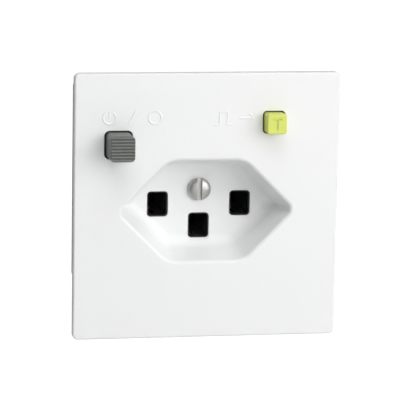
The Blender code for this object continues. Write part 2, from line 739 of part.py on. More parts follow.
def make_front_housing():
    """The black housing: a pocket round the cover's cup, shelves for the springs and sleeve mouths."""
    deck_back = HOUSING_FRONT + HOUSING_WALL
    housing = housing_prism("front_housing", (HOUSING_FRONT, HOUSING_JOINT), finish=HOUSING_BLACK)
    lip_end = HOUSING_JOINT + LIP_LENGTH
    join(housing, housing_prism("join_lip", (HOUSING_JOINT - PAST, lip_end), HOUSING_WALL - LIP_WALL))
    cut(housing, housing_prism("cut_front_inside", (deck_back, lip_end + PAST), HOUSING_WALL))
    pocket_outside = hexagon_outline(POCKET_CLEARANCE + POCKET_WALL)
    pocket_y = (HOUSING_FRONT + PAST, POCKET_FLOOR_BACK)
    join(housing, prism("join_pocket", pocket_outside, pocket_y, (0, SOCKET_Z)))
    boss_start = (0, POCKET_FLOOR_FRONT + PAST, SCREW_Z)
    boss_length = POCKET_FLOOR_BACK + INSERT_LENGTH + GAP - boss_start[1]
    join(housing, cylinder("join_insert_boss", "Y", boss_start, boss_length, INSERT_BOSS_RADIUS))
    shelf_y = (SHELF_FRONT, SHELF_FRONT + SHELF_THICKNESS)
    shelf_x = (-HOUSING_INSIDE - PAST, SWITCH_SHELF_END)
    join(housing, box("join_switch_shelf", shelf_x, shelf_y, around(SWITCH_Z, SWITCH_SHELF_HEIGHT)))
    test_y = (TEST_SHELF_FRONT, TEST_SHELF_FRONT + SHELF_THICKNESS)
    test_z = (TEST_Z - TEST_SHELF_BELOW, HOUSING_INSIDE + PAST)
    join(housing, box("join_test_shelf", around(TEST_X, TEST_SHELF_WIDTH), test_y, test_z))
    for side in (-1, 1):
        join(housing, corner_boss(f"join_front_boss_{side}", side, (SHELF_FRONT, HOUSING_JOINT - GAP)))
    mouth = (HOUSING_FRONT - PAST, POCKET_FLOOR_FRONT)
    cut(housing, prism("cut_pocket", hexagon_outline(POCKET_CLEARANCE), mouth, (0, SOCKET_Z)))
    for name, x, z in pin_places():
        collar_y = (FLOOR_FRONT + COLLAR_SUNK, POCKET_FLOOR_FRONT + PAST)
        join(housing, prism(f"join_collar_{name}", aperture_outline(COLLAR_WALL), collar_y, (x, z)))
        through = (FLOOR_FRONT - PAST, POCKET_FLOOR_BACK + PAST)
        cut(housing, prism(f"cut_housing_{name}", aperture_outline(), through, (x, z)))
    shank_start = (0, POCKET_FLOOR_FRONT - PAST, SCREW_Z)
    shank_length = POCKET_FLOOR + 2 * PAST
    insert_start = (0, POCKET_FLOOR_BACK - GAP, SCREW_Z)
    insert_length = INSERT_LENGTH + 2 * GAP + PAST
    insert_bore = INSERT_RADIUS + GAP
    cut(
        housing,
        cylinder("cut_housing_shank", "Y", shank_start, shank_length, SCREW_HOLE_RADIUS),
        cylinder("cut_housing_insert", "Y", insert_start, insert_length, insert_bore, sides=INSERT_SIDES),
    )
    through = (HOUSING_FRONT - PAST, deck_back + PAST)
    for name, x, z, size, corner in button_openings():
        cut(housing, prism(f"cut_housing_{name}", rectangle_outline(size, size, corner), through, (x, z)))
    for name, x, z, shelf, radius in (
        ("switch", SWITCH_X, SWITCH_Z, shelf_y, SWITCH_STEM_RADIUS),
        ("test", TEST_X, TEST_Z, test_y, TEST_STEM_RADIUS),
    ):
        start = (x, shelf[0] - PAST, z)
        cut(housing, cylinder(f"cut_{name}_shelf", "Y", start, SHELF_THICKNESS + 2 * PAST, radius + GAP))
    for side in (-1, 1):
        place = (side * HOUSING_SCREW_PLACE, SHELF_FRONT - PAST, side * HOUSING_SCREW_PLACE)
        bore = HOUSING_JOINT - SHELF_FRONT + 2 * PAST
        cut(housing, cylinder(f"cut_front_boss_{side}", "Y", place, bore, HOUSING_SCREW_RADIUS + GAP))
    return housing


def make_rear_housing():
    """The black rear housing: wire ducts to the terminals, screw bosses and terminal screw holes."""
    y = (HOUSING_JOINT + GAP, HOUSING_BACK)
    housing = housing_prism("rear_housing", y, finish=HOUSING_BLACK)
    rebate = (y[0] - PAST, HOUSING_JOINT + LIP_LENGTH + GAP)
    inside = (y[0] - PAST, HOUSING_BACK - HOUSING_WALL)
    cut(housing, housing_prism("cut_rear_inside", inside, HOUSING_WALL))
    duct_start = TERMINAL_Y[1] + GAP
    duct_side = TERMINAL_WIDTH
    for name, x in TERMINAL_X.items():
        duct_y = (duct_start, HOUSING_BACK - PAST)
        join(housing, box(f"join_duct_{name}", around(x, duct_side), duct_y, around(WIRE_Z, duct_side)))
    for side in (-1, 1):
        boss_y = (rebate[1] + GAP, HOUSING_BACK - PAST)
        join(housing, corner_boss(f"join_rear_boss_{side}", side, boss_y))
    for name, x in TERMINAL_X.items():
        entry_y = (duct_start - PAST, HOUSING_BACK + PAST)
        cut(housing, box(f"cut_duct_{name}", around(x, WIRE_ENTRY), entry_y, around(WIRE_Z, WIRE_ENTRY)))
        hole = (x, sum(TERMINAL_Y) / 2, -HOUSING_SIDE / 2 - PAST)
        hole_depth = HOUSING_WALL + 2 * PAST
        cut(housing, cylinder(f"cut_driver_{name}", "Z", hole, hole_depth, TERMINAL_HEAD_RADIUS + GAP))
    for side in (-1, 1):
        place = (side * HOUSING_SCREW_PLACE, y[0] - PAST, side * HOUSING_SCREW_PLACE)
        bore = y[1] - y[0] + 2 * PAST
        head = (place[0], HOUSING_BACK - HOUSING_SCREW_HEAD_SUNK, place[2])
        head_bore = HOUSING_SCREW_HEAD_SUNK + PAST
        cut(
            housing,
            cylinder(f"cut_rear_boss_{side}", "Y", place, bore, HOUSING_SCREW_RADIUS + GAP),
            cylinder(f"cut_screw_head_{side}", "Y", head, head_bore, HOUSING_SCREW_HEAD_RADIUS + GAP),
        )
    return cut(housing, housing_prism("cut_rebate", rebate, HOUSING_WALL - LIP_WALL - GAP))


def make_housing_screw(name, side):
    """A pan-head screw from the back, at one of two opposite corners."""
    shank_start = SHELF_FRONT + 2 * GAP
    shoulder = HOUSING_BACK - HOUSING_SCREW_HEAD_SUNK + GAP
    head_back = shoulder + HOUSING_SCREW_HEAD_HEIGHT
    place = (side * HOUSING_SCREW_PLACE, shank_start, side * HOUSING_SCREW_PLACE)
    profile = [
        (0, head_back - shank_start),
        (HOUSING_SCREW_HEAD_RADIUS, head_back - shank_start),
        (HOUSING_SCREW_HEAD_RADIUS, shoulder - shank_start),
        (HOUSING_SCREW_RADIUS, shoulder - shank_start),
        (HOUSING_SCREW_RADIUS, 0),
        (0, 0),
    ]
    screw = turned(name, "Y", place, profile, NICKEL, sides=SMALL_ROUND)
    slot_x = around(place[0], HOUSING_SCREW_SLOT_WIDTH)
    slot_y = (head_back - HOUSING_SCREW_SLOT_DEPTH, head_back + PAST)
    slot_z = around(place[2], 2 * HOUSING_SCREW_HEAD_RADIUS + 2 * PAST)
    return cut(screw, box(f"cut_{name}", slot_x, slot_y, slot_z))


def make_sleeve(name, x, z):
    """A sprung box sleeve that grips one pin, slit along its top and bottom and open at both ends."""
    y = (SLEEVE_FRONT, SLEEVE_BACK)
    sleeve = box(f"{name}_sleeve", around(x, SLEEVE_WIDTH), y, around(z, SLEEVE_HEIGHT), COPPER)
    inner_width = SLEEVE_WIDTH - 2 * SLEEVE_WALL
    inner_height = SLEEVE_HEIGHT - 2 * SLEEVE_WALL
    through = (y[0] - PAST, y[1] + PAST)
    cut(sleeve, box(f"cut_{name}_sleeve", around(x, inner_width), through, around(z, inner_height)))
    slit_y = (y[0] - PAST, y[1] - SLEEVE_TAIL)
    slit_z = around(z, SLEEVE_HEIGHT + 2 * PAST)
    return cut(sleeve, box(f"cut_{name}_slit", around(x, SLEEVE_SLIT), slit_y, slit_z))


def contact_tip(name, x, z, front):
    return cylinder(name, "Y", (x, front, z), TIP_HEIGHT + PAST / 2, TIP_RADIUS, sides=TIP_SIDES)


def make_bridge(pole):
    """The moving contact of one pole: a bar with a tip for each of its two fixed contacts."""
    z = POLE_Z[pole]
    y = (BRIDGE_FRONT, BRIDGE_FRONT + CONTACT_STRIP)
    x = (LINE_TIP_X - STRIP_END, LOAD_TIP_X + STRIP_END)
    bridge = box(f"{pole}_bridge", x, y, around(z, BRIDGE_WIDTH), COPPER)
    for name, tip_x in (("line", LINE_TIP_X), ("load", LOAD_TIP_X)):
        join(bridge, contact_tip(f"join_{pole}_{name}_moving_tip", tip_x, z, y[1] - PAST / 2))
    return bridge


def make_line_contact(pole, tail_back=None):
    """The fixed contact on the supply side of one pole, with a tail that reaches back to its wire."""
    z = POLE_Z[pole]
    strip_z = LINE_STRIP_Z[pole]
    strip_y = (FIXED_STRIP_FRONT, FIXED_STRIP_FRONT + CONTACT_STRIP)
    contact = box(f"{pole}_line_contact", around(LINE_TIP_X, CONTACT_WIDTH), strip_y, strip_z, COPPER)
    join(contact, contact_tip(f"join_{pole}_line_tip", LINE_TIP_X, z, FIXED_TIP_FRONT))
    if tail_back:
        tail_y = (strip_y[0] + PAST / 2, tail_back)
        tail_z = (strip_z[0], strip_z[0] + CONTACT_STRIP)
        join(contact, box(f"join_{pole}_tail", around(LINE_TIP_X, CONTACT_WIDTH), tail_y, tail_z))
    return contact


def make_load_contact(pole):
    """The fixed contact on the socket side of one pole, with its strap across the back of the sleeves."""
    strip_y = (FIXED_STRIP_FRONT, FIXED_STRIP_FRONT + CONTACT_STRIP)
    strip_x = (LOAD_TIP_X - STRIP_END, LOAD_STRIP_END[pole])
    contact = box(f"{pole}_load_contact", strip_x, strip_y, LOAD_STRIP_Z[pole], COPPER)
    return join(contact, contact_tip(f"join_{pole}_load_tip", LOAD_TIP_X, POLE_Z[pole], FIXED_TIP_FRONT))


def make_contact_carrier():
    """The moulded bar that the switch button pushes, with both bridges on its back."""
    bar_y = (CARRIER_BAR_FRONT, CARRIER_BAR_FRONT + CARRIER_BAR_THICKNESS)
    carrier = box("contact_carrier", CARRIER_BAR_X, bar_y, CARRIER_BAR_Z, CARRIER_CREAM)
    start = (SWITCH_X, SWITCH_STEM_BACK + GAP, SWITCH_Z)
    length = CARRIER_BAR_FRONT + PAST - start[1]
    return join(carrier, cylinder("join_carrier_stem", "Y", start, length, SWITCH_STEM_RADIUS))


def make_latch():
    """The lever that holds the carrier in, and the pin that it turns on."""
    z = around(SOLENOID_Z, LATCH_THICKNESS)
    eye_at = (LATCH_PIVOT_X, LATCH_PIVOT_Y, z[0])
    lever = cylinder("latch_lever", "Z", eye_at, LATCH_THICKNESS, LATCH_EYE_RADIUS, CARRIER_CREAM)
    arm_x = around(LATCH_PIVOT_X, LATCH_ARM)
    hook_x = (LATCH_HOOK_X, LATCH_PIVOT_X)
    join(
        lever,
        box("join_latch_arm", arm_x, (LATCH_FRONT_Y, LATCH_BACK_Y), z),
        box("join_latch_hook", hook_x, (LATCH_FRONT_Y, LATCH_FRONT_Y + LATCH_HOOK_DEPTH), z),
    )
    bore_at = (LATCH_PIVOT_X, LATCH_PIVOT_Y, z[0] - PAST)
    cut(lever, cylinder("cut_latch_eye", "Z", bore_at, LATCH_THICKNESS + 2 * PAST, LATCH_PIN_RADIUS + GAP))
    recentre(lever, (LATCH_PIVOT_X, LATCH_PIVOT_Y, SOLENOID_Z))
    pin_at = (LATCH_PIVOT_X, LATCH_PIVOT_Y, LATCH_PIN_BOTTOM)
    pin_length = HOUSING_INSIDE - GAP - pin_at[2]
    cylinder("latch_pin", "Z", pin_at, pin_length, LATCH_PIN_RADIUS, STEEL)
    spring_at = (LATCH_PIVOT_X, LATCH_PIVOT_Y, z[1] + GAP)
    coil_spring(
        "latch_spring",
        "Z",
        spring_at,
        LATCH_SPRING_LENGTH,
        LATCH_SPRING_RADIUS,
        LATCH_SPRING_WIRE,
        LATCH_SPRING_TURNS,
        SPRING_STEEL,
    )


def recentre(obj, origin):
    """Move the object's origin without moving its shape."""
    shift = Vector(origin) - obj.location
    obj.data.transform(Matrix.Translation(-shift))
    obj.location = origin


def make_solenoid():
    """The trip solenoid: bobbin, coil, yoke and plunger, lying along X."""
    start, end = BOBBIN_X
    length = end - start
    flange = BOBBIN_FLANGE
    at = (start, SOLENOID_Y, SOLENOID_Z)
    spool = [
        (BOBBIN_BORE_RADIUS, length),
        (BOBBIN_FLANGE_RADIUS, length),
        (BOBBIN_FLANGE_RADIUS, length - flange),
        (BOBBIN_TUBE_RADIUS, length - flange),
        (BOBBIN_TUBE_RADIUS, flange),
        (BOBBIN_FLANGE_RADIUS, flange),
        (BOBBIN_FLANGE_RADIUS, 0),
        (BOBBIN_BORE_RADIUS, 0),
    ]
    turned("solenoid_bobbin", "X", at, spool, CARRIER_CREAM, sides=BOBBIN_SIDES, ring=True)
    inner = BOBBIN_TUBE_RADIUS + GAP
    wound = [
        (inner, length - flange - GAP),
        (COIL_RADIUS, length - flange - GAP),
        (COIL_RADIUS, flange + GAP),
        (inner, flange + GAP),
    ]
    turned("solenoid_coil", "X", at, wound, ENAMEL, sides=BOBBIN_SIDES, ring=True)
    yoke_x = (start - YOKE_SHEET - GAP, end + YOKE_SHEET + GAP)
    yoke_y = around(SOLENOID_Y, YOKE_WIDTH)
    outer_z = (SOLENOID_Z - BOBBIN_FLANGE_RADIUS, HOUSING_INSIDE - GAP)
    yoke = box("solenoid_yoke", yoke_x, yoke_y, outer_z, ZINC)
    inner_z = (outer_z[0] - PAST, outer_z[1] - YOKE_SHEET)
    hole_x = (yoke_x[0] - PAST, SOLENOID_Y, SOLENOID_Z)
    cut(
        yoke,
        box("cut_yoke_inside", (start - GAP, end + GAP), around(SOLENOID_Y, YOKE_WIDTH + 2 * PAST), inner_z),
        cylinder("cut_yoke_hole", "X", hole_x, YOKE_SHEET + 2 * PAST, BOBBIN_BORE_RADIUS),
    )
    rod = [
        (0, PLUNGER_LENGTH),
        (PLUNGER_RADIUS, PLUNGER_LENGTH),
        (PLUNGER_RADIUS, PLUNGER_NOSE),
        (PLUNGER_TIP_RADIUS, 0),
        (0, 0),
    ]
    turned("trip_plunger", "X", (PLUNGER_FRONT_X, SOLENOID_Y, SOLENOID_Z), rod, STEEL, sides=SMALL_ROUND)


def make_transformer():
    """The summation transformer: a ring core inside its wound shell, round both supply conductors."""
    inner, outer = WINDING_RADII
    length = TOROID_Y[1] - TOROID_Y[0]
    wall = WINDING_WALL
    at = (TOROID_X, TOROID_Y[0], TOROID_Z)
    shell = [
        (outer - wall, length),
        (outer, length),
        (outer, 0),
        (inner, 0),
        (inner, length),
        (inner + wall, length),
        (inner + wall, wall),
        (outer - wall, wall),
    ]
    turned("secondary_winding", "Y", at, shell, ENAMEL, sides=BOBBIN_SIDES, ring=True)
    core_inner = inner + wall + GAP
    core_outer = outer - wall - GAP
    core_start = wall + GAP
    core = [
        (core_inner, length),
        (core_outer, length),
        (core_outer, core_start),
        (core_inner, core_start),
    ]
    turned("transformer_core", "Y", at, core, FERRITE, sides=BOBBIN_SIDES, ring=True)


def make_conductors():
    """The two supply conductors, from the terminals through the transformer to the line contacts."""
    start_y = TERMINAL_Y[0] - GAP
    for pole, side, back_y, finish in (
        ("live", 1, FIXED_STRIP_FRONT + CONTACT_STRIP / 2, WIRE_BROWN),
        ("neutral", -1, NEUTRAL_CONDUCTOR_BACK, WIRE_BLUE),
    ):
        z = TOROID_Z + side * CONDUCTOR_OFFSET
        x = TERMINAL_X[pole]
        route = [
            (x, start_y, z),
            (x, CONDUCTOR_FRONT, z),
            (TOROID_X, CONDUCTOR_FRONT, z),
            (TOROID_X, back_y, z),
            (LINE_TIP_X, back_y, z),
            (LINE_TIP_X, back_y, LINE_STRIP_Z[pole][0] - GAP),
        ]
        tube_along(f"{pole}_conductor", route, CONDUCTOR_RADIUS, finish, bend=CONDUCTOR_BEND)


def make_terminal(name):
    """A wire clamp: a steel cage open at both ends, and the screw that closes it from below."""
    x = TERMINAL_X[name]
    cage = box(f"{name}_terminal", around(x, TERMINAL_WIDTH), TERMINAL_Y, TERMINAL_Z, ZINC)
    opening = TERMINAL_WIDTH - 2 * TERMINAL_WALL
    through = (TERMINAL_Y[0] - PAST, TERMINAL_Y[1] + PAST)
    middle_y = sum(TERMINAL_Y) / 2
    thread_start = (x, middle_y, TERMINAL_Z[0] - PAST)
    thread_length = TERMINAL_WALL + 2 * PAST
    cut(
        cage,
        box(f"cut_{name}_cage", around(x, opening), through, around(WIRE_Z, opening)),
        cylinder(f"cut_{name}_thread", "Z", thread_start, thread_length, TERMINAL_SCREW_RADIUS + GAP),
    )
    head_bottom = -HOUSING_SIDE / 2 + TERMINAL_HEAD_SUNK
    head_top = TERMINAL_Z[0] - GAP
    shank_top = WIRE_Z - opening / 2 - GAP
    profile = [
        (0, shank_top - head_bottom),
        (TERMINAL_SCREW_RADIUS, shank_top - head_bottom),
        (TERMINAL_SCREW_RADIUS, head_top - head_bottom),
        (TERMINAL_HEAD_RADIUS, head_top - head_bottom),
        (TERMINAL_HEAD_RADIUS, 0),
        (0, 0),
    ]
    screw_name = f"{name}_terminal_screw"
    screw = turned(screw_name, "Z", (x, middle_y, head_bottom), profile, NICKEL, sides=SMALL_ROUND)
    slot_x = around(x, 2 * TERMINAL_HEAD_RADIUS + 2 * PAST)
    slot_y = around(middle_y, TERMINAL_SLOT_WIDTH)
    slot_z = (head_bottom - PAST, head_bottom + TERMINAL_SLOT_DEPTH)
    return cut(screw, box(f"cut_{screw_name}", slot_x, slot_y, slot_z))


def make_earth_strap():
    """The plate that joins the earth terminal to the earth sleeve."""
    bottom = TERMINAL_Z[1] + GAP
    top = SOCKET_Z - EARTH_DROP - SLEEVE_HEIGHT / 2 - GAP
    strap = box("earth_strap", STRAP_X, STRAP_Y, (bottom, top), COPPER)
    foot = (bottom, bottom + CONTACT_STRIP)
    head = (top - CONTACT_STRIP, top)
    return join(
        strap,
        box("join_strap_foot", STRAP_FOOT_X, STRAP_Y, foot),
        box("join_strap_head", STRAP_HEAD_X, STRAP_Y, head),
    )


def make_circuit_board():
    return box("circuit_board", BOARD_X, BOARD_Y, BOARD_Z, BOARD_GREEN)


def make_chip():
    """The amplifier chip, lying on the board, with a row of legs along each side."""
    chip_x = (BOARD_FACE - CHIP_TOP, BOARD_FACE - CHIP_STANDOFF)
    chip = box("amplifier_chip", chip_x, CHIP_Y, CHIP_Z, EPOXY_BLACK)
    middle_y = sum(CHIP_Y) / 2
    for row_z, side in zip(CHIP_Z, (-1, 1)):
        for index in range(CHIP_LEGS):
            leg_x = (BOARD_FACE - CHIP_LEG_TOP, BOARD_FACE)
            leg_y = around(middle_y + (index - (CHIP_LEGS - 1) / 2) * CHIP_LEG_PITCH, CHIP_LEG_WIDTH)
            leg_z = sorted((row_z - side * CHIP_STANDOFF, row_z + side * CHIP_LEG_REACH))
            join(chip, box(f"join_leg_{side}_{index}", leg_x, leg_y, leg_z))
    return chip


def make_capacitor():
    """A capacitor can standing on the board, with its end's edge rounded over."""
    can = [
        (0, CAPACITOR_LENGTH),
        (CAPACITOR_RADIUS, CAPACITOR_LENGTH),
        (CAPACITOR_RADIUS, CAPACITOR_EDGE),
        (CAPACITOR_RADIUS - CAPACITOR_EDGE, 0),
        (0, 0),
    ]
    at = (BOARD_FACE - CAPACITOR_LENGTH, *CAPACITOR_PLACE)
    return turned("capacitor", "X", at, can, CAN_SLEEVE, sides=SMALL_ROUND)


def make_varistor():
    """A disc on two leads that reach down to the board."""
    y, z = VARISTOR_PLACE
    varistor = cylinder(
        "varistor",
        "X",
        (VARISTOR_X, y, z),
        VARISTOR_THICKNESS,
        VARISTOR_RADIUS,
        VARISTOR_BLUE,
        sides=BOBBIN_SIDES,
    )
    start_x = VARISTOR_X + VARISTOR_THICKNESS / 2
    length = BOARD_FACE - start_x
    for side in (-1, 1):
        lead_at = (start_x, y + side * VARISTOR_LEAD_OFFSET, z)
        join(varistor, cylinder(f"join_lead_{side}", "X", lead_at, length, LEAD_RADIUS, sides=WIRE_SIDES))
    return varistor


def make_thyristor():
    """A round body with one flat side, on three pins that reach down to the board."""
    y, z = THYRISTOR_PLACE
    at = (THYRISTOR_X, y, z)
    thyristor = cylinder("thyristor", "X", at, THYRISTOR_LENGTH, THYRISTOR_RADIUS, EPOXY_BLACK)
    flat_x = (THYRISTOR_X - PAST, THYRISTOR_X + THYRISTOR_LENGTH + PAST)
    flat_y = (y + THYRISTOR_FLAT, y + THYRISTOR_RADIUS + PAST)
    cut(thyristor, box("cut_thyristor", flat_x, flat_y, around(z, 2 * THYRISTOR_RADIUS + 2 * PAST)))
    start_x = THYRISTOR_X + THYRISTOR_LENGTH - PAST
    length = BOARD_FACE - start_x
    for index in range(THYRISTOR_PINS):
        pin_z = z + (index - (THYRISTOR_PINS - 1) / 2) * THYRISTOR_PIN_PITCH
        pin_at = (start_x, THYRISTOR_PIN_Y, pin_z)
        pin = cylinder(f"join_pin_{index}", "X", pin_at, length, THYRISTOR_PIN_RADIUS, sides=PIN_SIDES)
        join(thyristor, pin)
    return thyristor


def make_test_circuit():
    """The sprung leaf that the test button bends, and the resistor whose post it then meets."""
    leaf_y = (LEAF_FRONT, LEAF_FRONT + LEAF_THICKNESS)
    leaf_x = (LEAF_TIP_X, HOUSING_INSIDE - GAP)
    leaf = box("test_leaf", leaf_x, leaf_y, around(TEST_Z, LEAF_HEIGHT), COPPER)
    recentre(leaf, (LEAF_PIVOT_X, sum(leaf_y) / 2, TEST_Z))
    body_at = (RESISTOR_X, RESISTOR_Y, RESISTOR_Z)
    resistor = cylinder("test_resistor", "X", body_at, RESISTOR_LENGTH, RESISTOR_RADIUS, RESISTOR_TAN)
    lead_at = (POST_X - PAST, RESISTOR_Y, RESISTOR_Z)
    lead_length = HOUSING_INSIDE - GAP - lead_at[0]
    post_at = (POST_X, RESISTOR_Y, RESISTOR_Z - PAST)
    post_length = TEST_Z + LEAF_HEIGHT / 2 - post_at[2]
    return join(
        resistor,
        cylinder("join_resistor_lead", "X", lead_at, lead_length, LEAD_RADIUS, sides=WIRE_SIDES),
        cylinder("join_resistor_post", "Z", post_at, post_length, LEAD_RADIUS, sides=WIRE_SIDES),
    )


for old in list(bpy.data.objects):
    bpy.data.objects.remove(old)
parts = bpy.data.collections.new("residual_current_socket")
cutters = bpy.data.collections.new("cutters")
bpy.context.scene.collection.children.link(parts)
bpy.context.scene.collection.children.link(cutters)

COVER_WHITE = material("cover white", (0.83, 0.84, 0.84), 0.38)
BUTTON_GREY = material("button grey", (0.13, 0.14, 0.13), 0.5)
BUTTON_LIME = material("button lime", (0.70, 0.76, 0.19), 0.4)
HOUSING_BLACK = material("housing black", (0.02, 0.02, 0.022), 0.45)
CARRIER_CREAM = material("carrier cream", (0.62, 0.56, 0.42), 0.5)
NICKEL = material("nickel", (0.66, 0.65, 0.62), 0.28, 1.0)
ZINC = material("zinc", (0.56, 0.57, 0.58), 0.42, 1.0)
STEEL = material("steel", (0.5, 0.5, 0.5), 0.3, 1.0)
SPRING_STEEL = material("spring steel", (0.42, 0.41, 0.4), 0.3, 1.0)
BRASS = material("brass", (0.72, 0.52, 0.22), 0.32, 1.0)
COPPER = material("copper alloy", (0.74, 0.42, 0.26), 0.35, 1.0)
ENAMEL = material("enamelled wire", (0.45, 0.16, 0.06), 0.3, 0.6)
FERRITE = material("core grey", (0.12, 0.12, 0.13), 0.5, 0.3)
WIRE_BROWN = material("wire brown", (0.16, 0.07, 0.03), 0.4)
WIRE_BLUE = material("wire blue", (0.05, 0.2, 0.55), 0.4)
BOARD_GREEN = material("board green", (0.04, 0.2, 0.08), 0.4)
EPOXY_BLACK = material("epoxy black", (0.02, 0.02, 0.02), 0.5)
CAN_SLEEVE = material("capacitor sleeve", (0.03, 0.04, 0.1), 0.35)
VARISTOR_BLUE = material("varistor blue", (0.03, 0.14, 0.42), 0.4)
RESISTOR_TAN = material("resistor tan", (0.55, 0.4, 0.24), 0.45)

make_cover_plate()
make_cover_screw()
make_screw_insert()
make_switch_button()
make_test_button()
make_button_springs()
make_support_frame()
make_retaining_clip(-1, "left_retaining_clip")
make_retaining_clip(1, "right_retaining_clip")
make_front_housing()
make_rear_housing()
make_housing_screw("upper_housing_screw", 1)
make_housing_screw("lower_housing_screw", -1)
for pin_name, pin_x, pin_z in pin_places():
    make_sleeve(pin_name, pin_x, pin_z)
make_bridge("live")
make_bridge("neutral")
make_line_contact("live")
make_line_contact("neutral", tail_back=NEUTRAL_TAIL_BACK)
make_load_contact("live")
make_load_contact("neutral")
make_contact_carrier()
make_latch()
make_solenoid()
make_transformer()
make_conductors()
for terminal_name in TERMINAL_X:
    make_terminal(terminal_name)
make_earth_strap()
make_circuit_board()
make_chip()
make_capacitor()
make_varistor()
make_thyristor()
make_test_circuit()
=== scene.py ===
import json
import math

import bmesh
import bpy
from mathutils import Matrix, Vector

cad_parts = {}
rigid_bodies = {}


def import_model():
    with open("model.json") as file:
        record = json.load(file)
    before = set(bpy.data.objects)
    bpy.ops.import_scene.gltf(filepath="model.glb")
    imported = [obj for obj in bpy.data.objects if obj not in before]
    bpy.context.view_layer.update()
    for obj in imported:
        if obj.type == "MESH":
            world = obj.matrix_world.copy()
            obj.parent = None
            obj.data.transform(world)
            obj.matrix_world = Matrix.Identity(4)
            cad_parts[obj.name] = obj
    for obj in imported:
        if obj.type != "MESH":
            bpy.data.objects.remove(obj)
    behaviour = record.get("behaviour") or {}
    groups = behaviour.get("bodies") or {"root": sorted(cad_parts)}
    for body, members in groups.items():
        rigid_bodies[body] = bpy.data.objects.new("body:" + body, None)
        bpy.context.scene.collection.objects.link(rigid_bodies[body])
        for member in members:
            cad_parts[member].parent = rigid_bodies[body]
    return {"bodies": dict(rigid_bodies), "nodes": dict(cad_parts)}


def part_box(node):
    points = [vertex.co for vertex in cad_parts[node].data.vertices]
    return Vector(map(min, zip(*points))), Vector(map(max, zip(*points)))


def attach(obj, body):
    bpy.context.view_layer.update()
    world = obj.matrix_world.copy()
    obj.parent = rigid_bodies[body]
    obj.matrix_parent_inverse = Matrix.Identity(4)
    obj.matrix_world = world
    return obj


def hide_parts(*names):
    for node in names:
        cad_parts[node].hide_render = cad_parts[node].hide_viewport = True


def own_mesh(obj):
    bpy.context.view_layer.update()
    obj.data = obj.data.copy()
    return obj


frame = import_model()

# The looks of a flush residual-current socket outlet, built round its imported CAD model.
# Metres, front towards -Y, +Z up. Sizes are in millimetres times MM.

MM = 0.001

# Cover
COVER_CORNER = 1.2 * MM
COVER_EDGE = 0.45 * MM
COVER_SHEET = 1.5 * MM
COVER_DEPTH = 2.0 * MM
COVER_INSIDE_CORNER = 0.6 * MM
SKIRT_WALL = 1.2 * MM

# Plug recess
SOCKET_Z = -1.1 * MM
RECESS_HALF_HEIGHT = 11.65 * MM
RECESS_FLAT_HALF = 8.7 * MM
RECESS_FLAT_RADIUS = 5.5 * MM
RECESS_TIP_RADIUS = 2.0 * MM
RECESS_TIP_LEAST = 0.5 * MM
HALF_SLOPE = math.radians(22.5)  # half the turn from a flat side to a sloping one
RECESS_DEPTH = 9.7 * MM
RIM_RADIUS = 0.85 * MM
RIM_OUT = 0.5 * MM  # how far the rounding starts outside the hexagon
WALL_DRAFT = 1.35 * MM  # how far the wall leans in between the rim and the floor
FLOOR_FILLET = 3.2 * MM
CUP_WALL = 1.4 * MM
CUP_FLOOR = 1.5 * MM
CUP_EDGE = 0.4 * MM
PIN_HOLE = (4.8 * MM, 5.8 * MM)
PIN_HOLE_CORNER = 0.85 * MM
HOLE_EDGE = 0.12 * MM

# Cover screw
SCREW_HOLE_RADIUS = 1.8 * MM
SCREW_HEAD_HEIGHT = 1.3 * MM
SCREW_DOME = 0.7 * SCREW_HEAD_HEIGHT
SCREW_CHAMFER = (0.15 * MM, 0.06 * SCREW_HEAD_HEIGHT)
SCREW_SHANK_RADIUS = 1.5 * MM
SCREW_TIP = (0.5 * MM, 0.6 * MM)
SCREW_SLOT = 1.0 * MM
SCREW_SLOT_DEPTH = 0.95 * MM
SCREW_EDGE = 0.06 * MM

# Buttons, their flanges and stems, and the test button's letter
SWITCH_CAP = (5.5 * MM, 5.7 * MM)
SWITCH_CORNER = 0.9 * MM
SWITCH_OPENING = 6.4 * MM
SWITCH_STEM_RADIUS = 2 * MM
RIBS = 8
RIB_PITCH = 0.71 * MM
RIB_DEPTH = 0.38 * MM
COMB_GAP = 0.02 * MM  # between the comb and the ribs' crowns
TEST_CAP = (4.45 * MM, 4.45 * MM)
TEST_CORNER = 0.6 * MM
TEST_OPENING = 5.1 * MM
TEST_STEM_RADIUS = 1.1 * MM
TEST_STEM_END_RADIUS = 0.8 * MM
OPENING_CORNER_GROWTH = 0.3 * MM
BUTTON_EDGE = 0.28 * MM
FLANGE_FRONT = 2.1 * MM
FLANGE_THICKNESS = 1.3 * MM
LETTER_DEPTH = 0.3 * MM
LETTER_STROKE = 0.4 * MM
LETTER_WIDTH = 2.1 * MM
LETTER_HEIGHT = 2.6 * MM

# Guides behind the cover, round the buttons
GUIDE_GAP = 0.05 * MM
GUIDE_SUNK = 1.0 * MM
GUIDE_FLANGE = 1.2 * MM

# Raised marks beside the buttons
MARK_WIRE_RADIUS = 0.34 * MM
MARK_PROUD = 0.13 * MM
MARK_HEIGHT = 3.2 * MM
SWITCH_MARK = (-17.1 * MM, 20.1 * MM)
SWITCH_MARK_REACH = 5.1 * MM
POWER_ARC = (130, 410)  # degrees
SLANT = 0.8 * MM
TEST_MARK = (5.95 * MM, 19.8 * MM)
TEST_MARK_LENGTH = 9.0 * MM
ARROW_HEAD = 1.1 * MM

